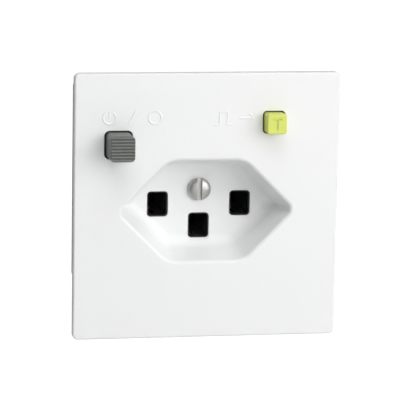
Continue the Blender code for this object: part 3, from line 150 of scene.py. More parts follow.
# Housings
PANEL_PITCH = 14 * MM
PANEL_WIDTH = 11 * MM
PANEL_DEPTH = 0.4 * MM
PANEL_SPAN = (3 * MM, 13 * MM)
ENGRAVING = 0.3 * MM
BACK_LINE = 0.4 * MM
BACK_LINE_INSET = 1.6 * MM
EARTH_LINE = 0.35 * MM
EARTH_RISE = 3.2 * MM
EARTH_STEM = 1.4 * MM
EARTH_PITCH = 0.7 * MM
EARTH_HALVES = (1.5 * MM, 1.0 * MM, 0.5 * MM)
SLOTS = 9
SLOT_PITCH = 3 * MM
SLOT_WIDTH = 1.2 * MM
SLOT_LENGTH = 7 * MM
SLOT_DEPTH = 0.8 * MM
SLOT_Z = 12 * MM
GRIP_RIBS = 12
GRIP_PITCH = 1.8 * MM
GRIP_MARGINS = (4 * MM, 3 * MM)

# Frame, clips and springs
FRAME_HOLE_PLACE = 26 * MM
FRAME_HOLE_RADIUS = 1.1 * MM
FRAME_SLOT = (9 * MM, 1.8 * MM, 0.85 * MM)
FRAME_SLOT_Z = 20.5 * MM
CLIP_WINDOW_MARGINS = (5 * MM, 4.6 * MM)
CLIP_WINDOW_HALF = 1.3 * MM
BUTTON_SPRING_TURNS = 6
SWITCH_SPRING_WIRE = 0.28 * MM
SWITCH_TRAVEL = 4 * MM
TEST_SPRING_WIRE = 0.2 * MM
TEST_TRAVEL = 1.5 * MM
LATCH_SPRING_TURNS = 4
LATCH_SPRING_WIRE = 0.2 * MM
LATCH_SPRING_RADIUS = 1.4 * MM

# Windings and conductors
COIL_WIRE = 0.42 * MM
COIL_BUILD = 2.05 * MM  # thickness of the winding, from its bore to its crowns
WRAP_WIRE = 0.4 * MM
WRAP_CORNER = 1 * MM
WRAPS = 64
STEPS_PER_WRAP = 4
CONDUCTOR_RADIUS = 0.75 * MM
INSULATION_RADIUS = 0.98 * CONDUCTOR_RADIUS
CONDUCTOR_BEND = 2 * MM
CONDUCTOR_GAP = 0.3 * MM

# Circuit board and the parts on it
BOARD_ROWS = 5
BOARD_COLUMNS = 6
BOARD_SUNK = 0.02 * MM
PAD_PROFILE = [(0.75 * MM, 0), (0.7 * MM, 0.05 * MM), (0.3 * MM, 0.14 * MM), (0.12 * MM, 0.2 * MM)]
TRACK_HALF = 0.25 * MM
TRACK_PROUD = 0.04 * MM
TRACK_STEP = 3 * MM
LEG_GAP = 0.3 * MM
CHIP_LEG_ROOM = 0.9 * MM
CHIP_STANDOFF = 0.4 * MM
CHIP_DOT = (0.9 * MM, 0.8 * MM)
CHIP_DOT_RADIUS = 0.35 * MM
CHIP_DOT_DEPTH = 0.1 * MM
CHIP_LEGS = 4
CHIP_FIRST_LEG = 0.9 * MM
CHIP_LEG_PITCH = 1.4 * MM
CHIP_LEG_LENGTH = 0.8 * MM
CHIP_LEG_OUT = 0.6 * MM
CHIP_LEG_IN = 0.2 * MM
CHIP_LEG_BEND = 0.2 * MM
CHIP_LEG_RADIUS = 0.17 * MM
THYRISTOR_RADIUS = 2.2 * MM
THYRISTOR_SHAPE = ((0, 0.95), (0.15 * MM, 1), (3.9 * MM, 1), (4 * MM, 0.97))  # depth, share of the radius
THYRISTOR_LEG = (3.5 * MM, 2 * MM)
THYRISTOR_LEG_PITCH = 1.27 * MM
THYRISTOR_LEG_RADIUS = 0.22 * MM
VARISTOR_EDGE = 0.9 * MM
VARISTOR_HALF = 1.1 * MM
VARISTOR_LEG_START = 1 * MM
VARISTOR_LEG_REACH = 2 * MM
VARISTOR_LEG_RADIUS = 0.35 * MM
VENT_RADIUS = 0.1 * MM
VENT_REACH = 0.6
RESISTOR_START = (1.7 * MM, 1.17 * MM)
RESISTOR_LENGTH = 5.5 * MM
RESISTOR_END = [
    (0.4 * MM, 0), (0.95 * MM, 0.05 * MM), (1.15 * MM, 0.4 * MM), (1.15 * MM, 1.0 * MM),
    (0.95 * MM, 1.4 * MM),
]
BAND_PLACES = (0.55 * MM, 1.75 * MM, 2.55 * MM, 4.6 * MM)
BAND_RADII = (1.17 * MM, 0.97 * MM, 0.97 * MM, 1.17 * MM)
BAND_WIDTH = 0.4 * MM
BAND_EDGE = 0.02 * MM
BAND_SUNK = 0.1 * MM
LEAD_RADIUS = 0.36 * MM
POST_INSET = 0.5 * MM
POST_SUNK = 0.3 * MM

# Rounding of the parts' edges
THIN_EDGE = 0.05 * MM
PRESSED_EDGE = 0.08 * MM
FINE_EDGE = 0.1 * MM
HOUSING_EDGE = 0.12 * MM
SOLID_EDGE = 0.15 * MM
CARRIER_EDGE = 0.2 * MM

# Modelling
SHARP_ANGLE = math.radians(32)
PAST = 0.5 * MM  # how far a cutter reaches past what it cuts
TINY = 0.01 * MM
MERGE = 0.002 * MM
ROUND_STEPS = 8


def plate_front():
    """The y of the cover's front face."""
    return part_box("cover_plate")[0].y


def extents(name):
    """The low corner, the high corner and the centre of a CAD node's box."""
    low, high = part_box(name)
    return low, high, (low + high) / 2


def middle(name):
    return extents(name)[2]


# Mesh helpers


def rounded_polygon(corners, radii, steps=ROUND_STEPS):
    """A convex polygon in X-Z with each corner replaced by an arc of its radius."""
    points = []
    count = len(corners)
    for index, (corner, radius) in enumerate(zip(corners, radii)):
        corner = Vector(corner)
        before = (Vector(corners[index - 1]) - corner).normalized()
        after = (Vector(corners[(index + 1) % count]) - corner).normalized()
        half = before.angle(after) / 2
        centre = corner + (before + after).normalized() * radius / math.sin(half)
        start = corner + before * radius / math.tan(half) - centre
        sweep = start.angle_signed(corner + after * radius / math.tan(half) - centre)
        for step in range(steps + 1):
            points.append(centre + Matrix.Rotation(-sweep * step / steps, 2) @ start)
    return points


def rectangle(width, height, radius, centre=(0, 0), steps=ROUND_STEPS):
    half_w = width / 2
    half_h = height / 2
    corners = [(-half_w, -half_h), (half_w, -half_h), (half_w, half_h), (-half_w, half_h)]
    points = rounded_polygon(corners, [radius] * 4, steps)
    return [point + Vector(centre) for point in points]


def arc(centre, radius, start, end, steps=24):
    """Points of an arc in X-Z, angles in degrees from +X towards +Z."""
    points = []
    for step in range(steps + 1):
        angle = math.radians(start + (end - start) * step / steps)
        points.append((centre[0] + radius * math.cos(angle), centre[1] + radius * math.sin(angle)))
    return points


def circle(radius, centre=(0, 0), steps=48):
    return arc(centre, radius, 0, 360, steps)[:-1]


def hexagon(offset):
    """The plug recess's outline, grown outwards by the offset."""
    half_height = RECESS_HALF_HEIGHT + offset
    flat = RECESS_FLAT_HALF + offset * math.tan(HALF_SLOPE)
    tip = flat + half_height
    corners = [(-flat, -half_height), (flat, -half_height), (tip, 0)]
    corners += [(flat, half_height), (-flat, half_height), (-tip, 0)]
    flat_radius = RECESS_FLAT_RADIUS + offset
    tip_radius = max(RECESS_TIP_RADIUS + offset, RECESS_TIP_LEAST)
    radii = [flat_radius, flat_radius, tip_radius] * 2
    return [point + Vector((0, SOCKET_Z)) for point in rounded_polygon(corners, radii, 12)]


def at_depth(outline, y):
    """An X-Z outline as points at a depth."""
    return [Vector((x, y, z)) for x, z in outline]


def quarter_turn(steps):
    """(sine, 1 - cosine) pairs from 0 to 90 degrees, for rounding an edge over."""
    angles = [math.radians(90) * step / steps for step in range(steps + 1)]
    return [(math.sin(angle), 1 - math.cos(angle)) for angle in angles]


def skin(bm, rings, ringed=False):
    """Join successive rings of points with quads, and close both ends or join the last to the first."""
    loops = [[bm.verts.new(point) for point in ring] for ring in rings]
    for near, far in zip(loops, loops[1:] + loops[:1] if ringed else loops[1:]):
        for index in range(len(near)):
            after = (index + 1) % len(near)
            bm.faces.new((near[index], near[after], far[after], far[index]))
    if not ringed:
        bm.faces.new(reversed(loops[0]))
        bm.faces.new(loops[-1])


def shade(mesh):
    mesh.shade_smooth()
    mesh.set_sharp_from_angle(angle=SHARP_ANGLE)


def linked(obj):
    """The object, put in the scene's collection."""
    bpy.context.scene.collection.objects.link(obj)
    return obj


def object_from(bm, name, finish=None):
    """A smooth-shaded object from a bmesh."""
    bmesh.ops.recalc_face_normals(bm, faces=bm.faces)
    mesh = bpy.data.meshes.new(name)
    bm.to_mesh(mesh)
    bm.free()
    shade(mesh)
    if finish:
        mesh.materials.append(finish)
    return linked(bpy.data.objects.new(name, mesh))


def loft(name, rings, finish=None, ringed=False):
    bm = bmesh.new()
    skin(bm, rings, ringed)
    return object_from(bm, name, finish)


def prism(name, outline, depths):
    """An X-Z outline drawn out between two depths."""
    return loft(name, [at_depth(outline, depth) for depth in depths])


def rounded_front(size, corner, edge, place, front, steps):
    """The rings of a rectangular front face whose edge is rounded over."""
    width, height = size
    rings = []
    for sine, rise in quarter_turn(steps):
        inset = edge * (1 - sine)
        outline = rectangle(width - 2 * inset, height - 2 * inset, corner - inset, place)
        rings.append(at_depth(outline, front + edge * rise))
    return rings


def block(name, low, high, finish=None):
    """A box between two corners."""
    low = Vector(low)
    high = Vector(high)
    bm = bmesh.new()
    bmesh.ops.create_cube(bm, size=1, matrix=Matrix.Diagonal((*(high - low), 1)))
    bmesh.ops.translate(bm, vec=(low + high) / 2, verts=bm.verts)
    return object_from(bm, name, finish)


def rod(name, start, end, radius, finish=None, far_radius=None, steps=32):
    """A cylinder, or a cone if far_radius is given, between two points."""
    start = Vector(start)
    end = Vector(end)
    turn = (end - start).to_track_quat("Z", "Y").to_matrix()
    rings = []
    for place, size in ((start, radius), (end, far_radius or radius)):
        rings.append([place + turn @ Vector((x, z, 0)) for x, z in circle(size, steps=steps)])
    return loft(name, rings, finish)


def evaluated_mesh(obj):
    graph = bpy.context.evaluated_depsgraph_get()
    return bpy.data.meshes.new_from_object(obj.evaluated_get(graph))


def apply_modifiers(obj):
    """Replace the object's mesh with its evaluated one."""
    mesh = evaluated_mesh(obj)
    obj.modifiers.clear()
    obj.data = mesh


def combine(target, others, operation):
    """Cut or join the other shapes into target, and remove them."""
    for other in others:
        modifier = target.modifiers.new(other.name, "BOOLEAN")
        modifier.operation = operation
        modifier.solver = "EXACT"
        modifier.object = other
    apply_modifiers(target)
    for other in others:
        bpy.data.objects.remove(other)
    return target


def cut(target, *others):
    return combine(target, others, "DIFFERENCE")


def join(target, *others):
    return combine(target, others, "UNION")


def crisp(obj):
    """Smooth shading that keeps flat faces flat."""
    shade(obj.data)
    modifier = obj.modifiers.new("normals", "WEIGHTED_NORMAL")
    modifier.keep_sharp = True


def placed(obj, stands_for, body="root"):
    """Put a piece on its body, and let it stand for its CAD node."""
    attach(obj, body)
    if stands_for:
        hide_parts(stands_for)


def finished(obj, stands_for, body="root"):
    """Shade a piece and place it."""
    crisp(obj)
    placed(obj, stands_for, body)


def wire(name, points, radius, finish, resolution=3):
    """A round wire through the points, as a mesh."""
    curve = bpy.data.curves.new(name, "CURVE")
    curve.dimensions = "3D"
    curve.bevel_depth = radius
    curve.bevel_resolution = resolution
    curve.use_fill_caps = True
    spline = curve.splines.new("POLY")
    spline.points.add(len(points) - 1)
    for point, place in zip(spline.points, points):
        point.co = (*place, 1)
    guide = linked(bpy.data.objects.new(name, curve))
    mesh = evaluated_mesh(guide)
    bpy.data.objects.remove(guide)
    bpy.data.curves.remove(curve)
    shade(mesh)
    mesh.materials.append(finish)
    return linked(bpy.data.objects.new(name, mesh))


def joined(name, objects):
    """Several objects as one, without merging their surfaces."""
    bm = bmesh.new()
    for obj in objects:
        bm.from_mesh(obj.data)
    finish = objects[0].data.materials[0]
    for obj in objects:
        bpy.data.objects.remove(obj)
    return object_from(bm, name, finish)


# Materials


def node(tree, kind, inputs=None, **settings):
    """A shader node with these properties and input values or links."""
    made = tree.nodes.new(kind)
    for key, value in settings.items():
        setattr(made, key, value)
    for key, value in (inputs or {}).items():
        if isinstance(value, bpy.types.NodeSocket):
            tree.links.new(value, made.inputs[key])
        else:
            made.inputs[key].default_value = value
    return made


def new_material(name):
    """A material, its tree, its shader and the object coordinates."""
    made = bpy.data.materials.new(name)
    made.use_nodes = True
    tree = made.node_tree
    shader = tree.nodes["Principled BSDF"]
    place = node(tree, "ShaderNodeTexCoord").outputs["Object"]
    return made, tree, shader, place


def noise(tree, place, scale, detail=3.0, roughness=0.55):
    inputs = {"Vector": place, "Scale": scale, "Detail": detail, "Roughness": roughness}
    return node(tree, "ShaderNodeTexNoise", inputs).outputs["Fac"]


def ranged(tree, value, low, high, start=0.3, end=0.7):
    """The value's span start to end, spread over low to high."""
    inputs = {"Value": value, "From Min": start, "From Max": end, "To Min": low, "To Max": high}
    return node(tree, "ShaderNodeMapRange", inputs).outputs["Result"]


def blended(tree, factor, first, second):
    """A colour between two colours."""
    mix = node(tree, "ShaderNodeMix", data_type="RGBA")
    tree.links.new(factor, mix.inputs["Factor"])
    colours = [socket for socket in mix.inputs if socket.type == "RGBA"]
    for socket, colour in zip(colours, (first, second)):
        if isinstance(colour, bpy.types.NodeSocket):
            tree.links.new(colour, socket)
        else:
            socket.default_value = (*colour, 1)
    return next(socket for socket in mix.outputs if socket.type == "RGBA")


def bump(tree, height, strength, distance):
    inputs = {"Height": height, "Strength": strength, "Distance": distance}
    return node(tree, "ShaderNodeBump", inputs).outputs["Normal"]


def feed(tree, shader, colour, roughness, normal):
    """Link a shader's colour, roughness and normal."""
    for name, socket in (("Base Color", colour), ("Roughness", roughness), ("Normal", normal)):
        tree.links.new(socket, shader.inputs[name])


def scaled(colour, factor):
    return tuple(min(channel * factor, 1) for channel in colour)


def plastic(name, colour, roughness, variation=0.03, unevenness=0.04, grain=2600, depth=0.006 * MM):
    """Moulded plastic: a faint flow mottle, uneven gloss and a fine eroded grain."""
    made, tree, shader, place = new_material(name)
    flow = ranged(tree, noise(tree, place, 55), 0, 1)
    tone = blended(tree, flow, scaled(colour, 1 - variation), scaled(colour, 1 + variation))
    sheen = ranged(tree, noise(tree, place, 120), roughness - unevenness, roughness + unevenness)
    feed(tree, shader, tone, sheen, bump(tree, noise(tree, place, grain, detail=4), 0.6, depth))
    return made


def metal(name, colour, roughness, stretch, variation=0.08, depth=0.004 * MM):
    """Bare or plated metal: a fine grain drawn out by stretch, cloudy tone, and a painted highlight that
    brightens the colour on convex edges.
    """
    made, tree, shader, place = new_material(name)
    drawn_place = node(tree, "ShaderNodeMapping", {"Vector": place, "Scale": stretch}).outputs["Vector"]
    lines = noise(tree, drawn_place, 1500, detail=5)
    clouds = ranged(tree, noise(tree, place, 190), 0, 1)
    tone = blended(tree, clouds, scaled(colour, 1 - variation), scaled(colour, 1 + variation))
    # Painted highlight: convex edges get a brighter colour, as if they caught the light.
    edges = ranged(tree, node(tree, "ShaderNodeNewGeometry").outputs["Pointiness"], 0, 0.35, 0.52, 0.6)
    edge_highlight_colour = blended(tree, edges, tone, scaled(colour, 1.25))
    dull = ranged(tree, lines, roughness - 0.08, roughness + 0.1)
    feed(tree, shader, edge_highlight_colour, dull, bump(tree, lines, 0.5, depth))
    shader.inputs["Metallic"].default_value = 1.0
    return made


def laminate(name):
    """Green solder mask over a glass weave."""
    made, tree, shader, place = new_material(name)
    mottle = ranged(tree, noise(tree, place, 260), 0, 1)
    tone = blended(tree, mottle, (0.012, 0.12, 0.045), (0.02, 0.16, 0.06))
    waves = []
    for direction in ("Y", "Z"):
        inputs = {"Vector": place, "Scale": 380.0, "Distortion": 0.4}
        waves.append(node(tree, "ShaderNodeTexWave", inputs, bands_direction=direction).outputs["Fac"])
    weave = node(tree, "ShaderNodeMath", dict(enumerate(waves)), operation="MULTIPLY").outputs[0]
    feed(tree, shader, tone, ranged(tree, weave, 0.24, 0.34, 0, 1), bump(tree, weave, 0.5, 0.01 * MM))
    return made


# Pieces


def recess_profile():
    """(offset, depth) pairs from the face, round the rim, down the wall and round to the floor."""
    profile = [(RIM_OUT - RIM_RADIUS * sine, RIM_RADIUS * rise) for sine, rise in quarter_turn(8)]
    foot_offset = profile[-1][0] - WALL_DRAFT
    foot_depth = RECESS_DEPTH - FLOOR_FILLET
    for sine, rise in quarter_turn(12):
        profile.append((foot_offset - FLOOR_FILLET * rise, foot_depth + FLOOR_FILLET * sine))
    return profile


def opening_cutter(name, outline_of, front, back):
    """A cutter for a hole whose mouth at the front is rounded; outline_of(grow) is its outline."""
    rings = [at_depth(outline_of(HOLE_EDGE + PAST), front - PAST)]
    for sine, rise in quarter_turn(4):
        rings.append(at_depth(outline_of(HOLE_EDGE * (1 - sine)), front + HOLE_EDGE * rise))
    rings.append(at_depth(outline_of(0), back + PAST))
    return loft(name, rings)


def box_opening(name, place, size, corner, front, back):
    """The cutter for a hole with four rounded corners."""
    width, height = size
    return opening_cutter(
        name, lambda grow: rectangle(width + 2 * grow, height + 2 * grow, corner + grow, place), front, back
    )


def button_places():
    """Name, (x, z) place, opening side and opening corner of each button."""
    places = []
    for name, node_name, side, corner in (
        ("switch", "on_off_spring", SWITCH_OPENING, SWITCH_CORNER),
        ("test", "test_button", TEST_OPENING, TEST_CORNER),
    ):
        centre = middle(node_name)
        places.append((name, (centre.x, centre.z), side, corner + OPENING_CORNER_GROWTH))
    return places


def pin_places():
    """The (x, z) place of each pin hole, in the middle of its sleeve."""
    centres = {name: middle(f"{name}_sleeve") for name in ("live", "neutral", "earth")}
    return {name: (centre.x, centre.z) for name, centre in centres.items()}


def make_cover():
    """The white cover: softly edged plate, skirt, and the cup with its filleted recess."""
    low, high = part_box("cover_plate")
    front = low.y
    side = high.x - low.x
    rings = rounded_front((side, side), COVER_CORNER, COVER_EDGE, (0, 0), front, 4)
    rings.append(at_depth(rectangle(side, side, COVER_CORNER), front + COVER_DEPTH))
    cover = loft("cover", rings, COVER_WHITE)
    inside = rectangle(side - 2 * SKIRT_WALL, side - 2 * SKIRT_WALL, COVER_INSIDE_CORNER)
    sheet_back = front + COVER_SHEET
    cut(cover, prism("cut_inside", inside, (sheet_back, front + COVER_DEPTH + PAST)))
    floor = front + RECESS_DEPTH
    cup_back = floor + CUP_FLOOR
    cup_foot = CUP_WALL - (RIM_RADIUS + WALL_DRAFT - RIM_OUT)
    cup = [
        at_depth(hexagon(CUP_WALL), front + COVER_SHEET / 2),
        at_depth(hexagon(cup_foot), cup_back - CUP_EDGE),
        at_depth(hexagon(cup_foot - CUP_EDGE), cup_back),
    ]
    join(cover, loft("join_cup", cup))
    recess = [at_depth(hexagon(PAST), front - PAST)]
    recess += [at_depth(hexagon(offset), front + depth) for offset, depth in recess_profile()]
    holes = [loft("cut_recess", recess)]
    for name, place in pin_places().items():
        holes.append(box_opening(f"cut_{name}", place, PIN_HOLE, PIN_HOLE_CORNER, floor, cup_back))
    screw = middle("cover_screw")
    holes.append(opening_cutter(
        "cut_shank", lambda grow: circle(SCREW_HOLE_RADIUS + grow, (screw.x, screw.z)), floor, cup_back
    ))
    for name, place, size, corner in button_places():
        holes.append(box_opening(f"cut_{name}", place, (size, size), corner, front, sheet_back))
    cut(cover, *holes)
    finished(cover, "cover_plate")


def make_button_guides():
    """Black guides with a flange behind the cover and a collar that lines each button's opening."""
    front = plate_front()
    sheet_back = front + COVER_SHEET
    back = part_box("support_frame")[0].y - GUIDE_GAP
    guides = []
    caps = {"switch": (SWITCH_CAP, SWITCH_CORNER), "test": (TEST_CAP, TEST_CORNER)}
    for name, place, size, corner in button_places():
        wide = rectangle(size + GUIDE_FLANGE, size + GUIDE_FLANGE, corner, place)
        lining = rectangle(size - 2 * GUIDE_GAP, size - 2 * GUIDE_GAP, corner - GUIDE_GAP, place)
        rings = [
            at_depth(lining, front + GUIDE_SUNK),
            at_depth(lining, sheet_back + GUIDE_GAP),
            at_depth(wide, sheet_back + GUIDE_GAP),
            at_depth(wide, back),
        ]
        (width, height), cap_corner = caps[name]
        inner = rectangle(width + 2 * GUIDE_GAP, height + 2 * GUIDE_GAP, cap_corner + GUIDE_GAP, place)
        bore = prism("cut_guide", inner, (front - PAST, back + PAST))
        guides.append(cut(loft(f"guide_{name}", rings, HOUSING_BLACK), bore))
    finished(joined("button_guides", guides), None)


def button_cap(name, size, corner, place, front, finish):
    """A cap whose front edge is rounded over."""
    rings = rounded_front(size, corner, BUTTON_EDGE, place, front, 5)
    rings.append(at_depth(rectangle(*size, corner, place), FLANGE_FRONT + PAST))
    return loft(name, rings, finish)


def add_flange_and_stem(button, place, low, high, radius, end_radius=None):
    """Join a button's flange, as wide as its box, and its round stem to the cap."""
    x, z = place
    join(
        button,
        block("join_flange", (low.x, FLANGE_FRONT, low.z), (high.x, FLANGE_FRONT + FLANGE_THICKNESS, high.z)),
        rod("join_stem", (x, FLANGE_FRONT + PAST, z), (x, high.y, z), radius, far_radius=end_radius),
    )


def rib_comb(place, size, front):
    """A cutter with a wavy face that leaves rounded ribs across the cap."""
    steps_per_rib = 12
    height = RIBS * RIB_PITCH
    profile = [(front - PAST, -height / 2)]
    for step in range(RIBS * steps_per_rib + 1):
        z = -height / 2 + RIB_PITCH * step / steps_per_rib
        wave = 0.5 - 0.5 * math.cos(2 * math.pi * (z / RIB_PITCH + 0.5 * (RIBS + 1)))
        profile.append((front - COMB_GAP + RIB_DEPTH * wave ** 2, z))
    profile.append((front - PAST, height / 2))
    rings = []
    for side in (-1, 1):
        x = place[0] + side * (size[0] / 2 + PAST)
        rings.append([Vector((x, y, place[1] + z)) for y, z in profile])
    return loft("cut_ribs", rings)


def make_switch_button():
    """The dark ribbed push button with its flange and stem."""
    low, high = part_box("on_off_button")
    place = button_places()[0][1]
    button = button_cap("switch_button_cap", SWITCH_CAP, SWITCH_CORNER, place, low.y, BUTTON_GREY)
    cut(button, rib_comb(place, SWITCH_CAP, low.y))
    add_flange_and_stem(button, place, low, high, SWITCH_STEM_RADIUS)
    finished(button, "on_off_button", "switch_button")


def make_test_button():
    """The lime push button with its engraved mark."""
    low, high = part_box("test_button")
    place = button_places()[1][1]
    button = button_cap("test_button_cap", TEST_CAP, TEST_CORNER, place, low.y, BUTTON_LIME)
    add_flange_and_stem(button, place, low, high, TEST_STEM_RADIUS, TEST_STEM_END_RADIUS)
    x, z = place
    top = z + LETTER_HEIGHT / 2
    near = low.y - PAST
    deep = low.y + LETTER_DEPTH
    bar_half = LETTER_WIDTH / 2
    stem_half = LETTER_STROKE / 2
    bar = block("cut_bar", (x - bar_half, near, top - LETTER_STROKE), (x + bar_half, deep, top))
    stem = block(
        "cut_stem", (x - stem_half, near, z - LETTER_HEIGHT / 2), (x + stem_half, deep, top - stem_half)
    )
    cut(button, join(bar, stem))
    finished(button, "test_button", "test_button")


def turned(name, at, profile, finish, axis="Y", steps=64):
    """A profile of (radius, distance along the axis) turned about the axis X or Y through at."""
    frames = {
        "X": Matrix(((0, 0, 1), (1, 0, 0), (0, 1, 0))),
        "Y": Matrix(((1, 0, 0), (0, 0, 1), (0, 1, 0))),
    }
    turn = frames[axis]
    rings = []
    for radius, height in profile:
        outline = circle(max(radius, TINY), steps=steps)
        rings.append([turn @ Vector((x, z, height)) + Vector(at) for x, z in outline])
    return loft(name, rings, finish)


def make_cover_screw():
    """The nickel-plated domed screw at the back of the recess, with its slot upright."""
    low, high, place = extents("cover_screw")
    radius = (high.x - low.x) / 2
    length = high.y - low.y
    profile = [(radius * sine, SCREW_DOME * rise) for sine, rise in quarter_turn(12)]
    profile += [
        (radius, SCREW_HEAD_HEIGHT - SCREW_CHAMFER[1]),
        (radius - SCREW_CHAMFER[0], SCREW_HEAD_HEIGHT),
        (SCREW_SHANK_RADIUS, SCREW_HEAD_HEIGHT),
        (SCREW_SHANK_RADIUS, length - SCREW_TIP[1]),
        (SCREW_SHANK_RADIUS - SCREW_TIP[0], length),
    ]
    screw = turned("screw", (place.x, low.y, place.z), profile, NICKEL)
    half = SCREW_SLOT / 2
    slot_low = (place.x - half, low.y - PAST, low.z - PAST)
    slot_high = (place.x + half, low.y + SCREW_SLOT_DEPTH, high.z + PAST)
    cut(screw, block("cut_slot", slot_low, slot_high))
    round_edges(screw, SCREW_EDGE, angle=50)
    finished(screw, "cover_screw")


def mark(name, strokes):
    """Raised lines on the cover: wires sunk until only their crowns stand proud."""
    y = plate_front() + MARK_WIRE_RADIUS - MARK_PROUD
    wires = [
        wire(f"{name}_{index}", [(x, y, z) for x, z in line], MARK_WIRE_RADIUS, COVER_WHITE)
        for index, line in enumerate(strokes)
    ]
    finished(joined(name, wires), None)


def make_marks():
    """Generic pictograms: power, a stroke and a ring by the switch, a pulse and an arrow by the test."""
    x, z = SWITCH_MARK
    half = MARK_HEIGHT / 2 - MARK_WIRE_RADIUS / 2
    on_x = x - SWITCH_MARK_REACH
    mark("switch_mark", [
        arc((on_x, z), half, *POWER_ARC),
        [(on_x, z + half), (on_x, z)],
        [(x - SLANT, z - half), (x + SLANT, z + half)],
        arc((x + SWITCH_MARK_REACH, z), half, 0, 360),
    ])
    x, z = TEST_MARK
    left = x - TEST_MARK_LENGTH / 2
    right = x + TEST_MARK_LENGTH / 2
    step = TEST_MARK_LENGTH / 8
    # Steps along the mark and heights of the pulse's corners
    pulse = [(0, -half), (1, -half), (1, half), (2.6, half), (2.6, -half), (3.6, -half)]
    mark("test_mark", [
        [(left + steps * step, z + up) for steps, up in pulse],
        [(left + 5 * step, z), (right, z)],
        [(right - ARROW_HEAD, z + ARROW_HEAD), (right, z), (right - ARROW_HEAD, z - ARROW_HEAD)],
    ])


def refined(name, finish, edge, body="root", piece=None, cutters=()):
    """A CAD node again with rounded edges, after these cuts."""
    bm = bmesh.new()
    bm.from_mesh(frame["nodes"][name].data)
    bmesh.ops.remove_doubles(bm, verts=bm.verts, dist=MERGE)
    bmesh.ops.dissolve_limit(bm, angle_limit=math.radians(1), verts=bm.verts, edges=bm.edges)
    obj = object_from(bm, piece or f"{name}_piece", finish)
    if cutters:
        cut(obj, *cutters)
    round_edges(obj, edge)
    finished(obj, name, body)


def round_edges(obj, width, angle=38):
    """Round the object's sharp edges over."""
    edges = obj.modifiers.new("edges", "BEVEL")
    edges.width = width
    edges.segments = 2
    edges.limit_method = "ANGLE"
    edges.angle_limit = math.radians(angle)
    edges.use_clamp_overlap = True
    apply_modifiers(obj)


def make_front_housing():
    """The front housing with moulded panels on its top and bottom walls and rounded edges."""
    low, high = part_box("front_housing")
    start, end = (low.y + along for along in PANEL_SPAN)
    panels = []
    for side, wall in ((-1, low.z), (1, high.z)):
        depths = sorted((wall - side * PANEL_DEPTH, wall + side * PAST))
        for index in (-1, 0, 1):
            x = index * PANEL_PITCH
            panels.append(block(
                f"cut_panel_{side}_{index}",
                (x - PANEL_WIDTH / 2, start, depths[0]),
                (x + PANEL_WIDTH / 2, end, depths[1]),
            ))
    refined(
        "front_housing", HOUSING_BLACK, HOUSING_EDGE, piece="front_shell", cutters=panels
    )


def stroke(name, start, end, width, depths):
    """A cutter for an engraved line between two X-Z points."""
    start = Vector(start)
    end = Vector(end)
    along = (end - start).normalized() * width / 2
    side = Vector((-along.y, along.x))
    corners = [start - along - side, end + along - side, end + along + side, start - along + side]
    return prism(name, corners, depths)


def make_rear_housing():
    """The rear housing: two lines, cooling slots and an earth symbol on its back, grips on its sides."""
    low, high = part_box("rear_housing")
    engraved = (high.y - ENGRAVING, high.y + PAST)
    half = (high.x - low.x) / 2 - BACK_LINE_INSET
    cutters = [stroke(f"cut_line_{z}", (-half, z), (half, z), BACK_LINE, engraved) for z in (-half, half)]
    for index in range(SLOTS):
        x = (index - (SLOTS - 1) / 2) * SLOT_PITCH
        outline = rectangle(SLOT_WIDTH, SLOT_LENGTH, SLOT_WIDTH / 2.1, (x, SLOT_Z), 4)
        cutters.append(prism(f"cut_slot_{index}", outline, (high.y - SLOT_DEPTH, high.y + PAST)))
    x = middle("earth_terminal").x
    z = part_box("earth_terminal")[1].z + EARTH_RISE
    cutters.append(stroke("cut_earth_stem", (x, z + EARTH_STEM), (x, z), EARTH_LINE, engraved))
    for index, half in enumerate(EARTH_HALVES):
        line_z = z - index * EARTH_PITCH
        ends = ((x - half, line_z), (x + half, line_z))
        cutters.append(stroke(f"cut_earth_{index}", *ends, EARTH_LINE, engraved))
    for side, wall in ((-1, low.x), (1, high.x)):
        depths = sorted((wall - side * PANEL_DEPTH, wall + side * PAST))
        for index in range(GRIP_RIBS):
            z = (index - (GRIP_RIBS - 1) / 2) * GRIP_PITCH
            cutters.append(block(
                f"cut_grip_{side}_{index}",
                (depths[0], low.y + GRIP_MARGINS[0], z - GRIP_PITCH / 4),
                (depths[1], high.y - GRIP_MARGINS[1], z + GRIP_PITCH / 4),
            ))
    refined(
        "rear_housing", HOUSING_BLACK, HOUSING_EDGE, piece="rear_shell", cutters=cutters
    )


def make_support_frame():
    """The zinc-plated frame with punched slots and corner holes."""
    low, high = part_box("support_frame")
    outlines = []
    for x_side in (-1, 1):
        for z_side in (-1, 1):
            place = (x_side * FRAME_HOLE_PLACE, z_side * FRAME_HOLE_PLACE)
            outlines.append(circle(FRAME_HOLE_RADIUS, place, 24))
    for z_side in (-1, 1):
        outlines.append(rectangle(*FRAME_SLOT, (0, z_side * FRAME_SLOT_Z), 5))
    through = (low.y - PAST, high.y + PAST)
    cutters = [prism(f"cut_frame_{index}", outline, through) for index, outline in enumerate(outlines)]
    refined("support_frame", ZINC, FINE_EDGE, piece="frame_plate", cutters=cutters)


def make_retaining_clips():
    """The two spring clips, each with a punched window in its sloping leaf."""
    for name in ("left_retaining_clip", "right_retaining_clip"):
        low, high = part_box(name)
        window = block(
            f"cut_{name}",
            (low.x - PAST, low.y + CLIP_WINDOW_MARGINS[0], -CLIP_WINDOW_HALF),
            (high.x + PAST, high.y - CLIP_WINDOW_MARGINS[1], CLIP_WINDOW_HALF),
        )
        refined(name, SPRING_STEEL, PRESSED_EDGE, cutters=[window])


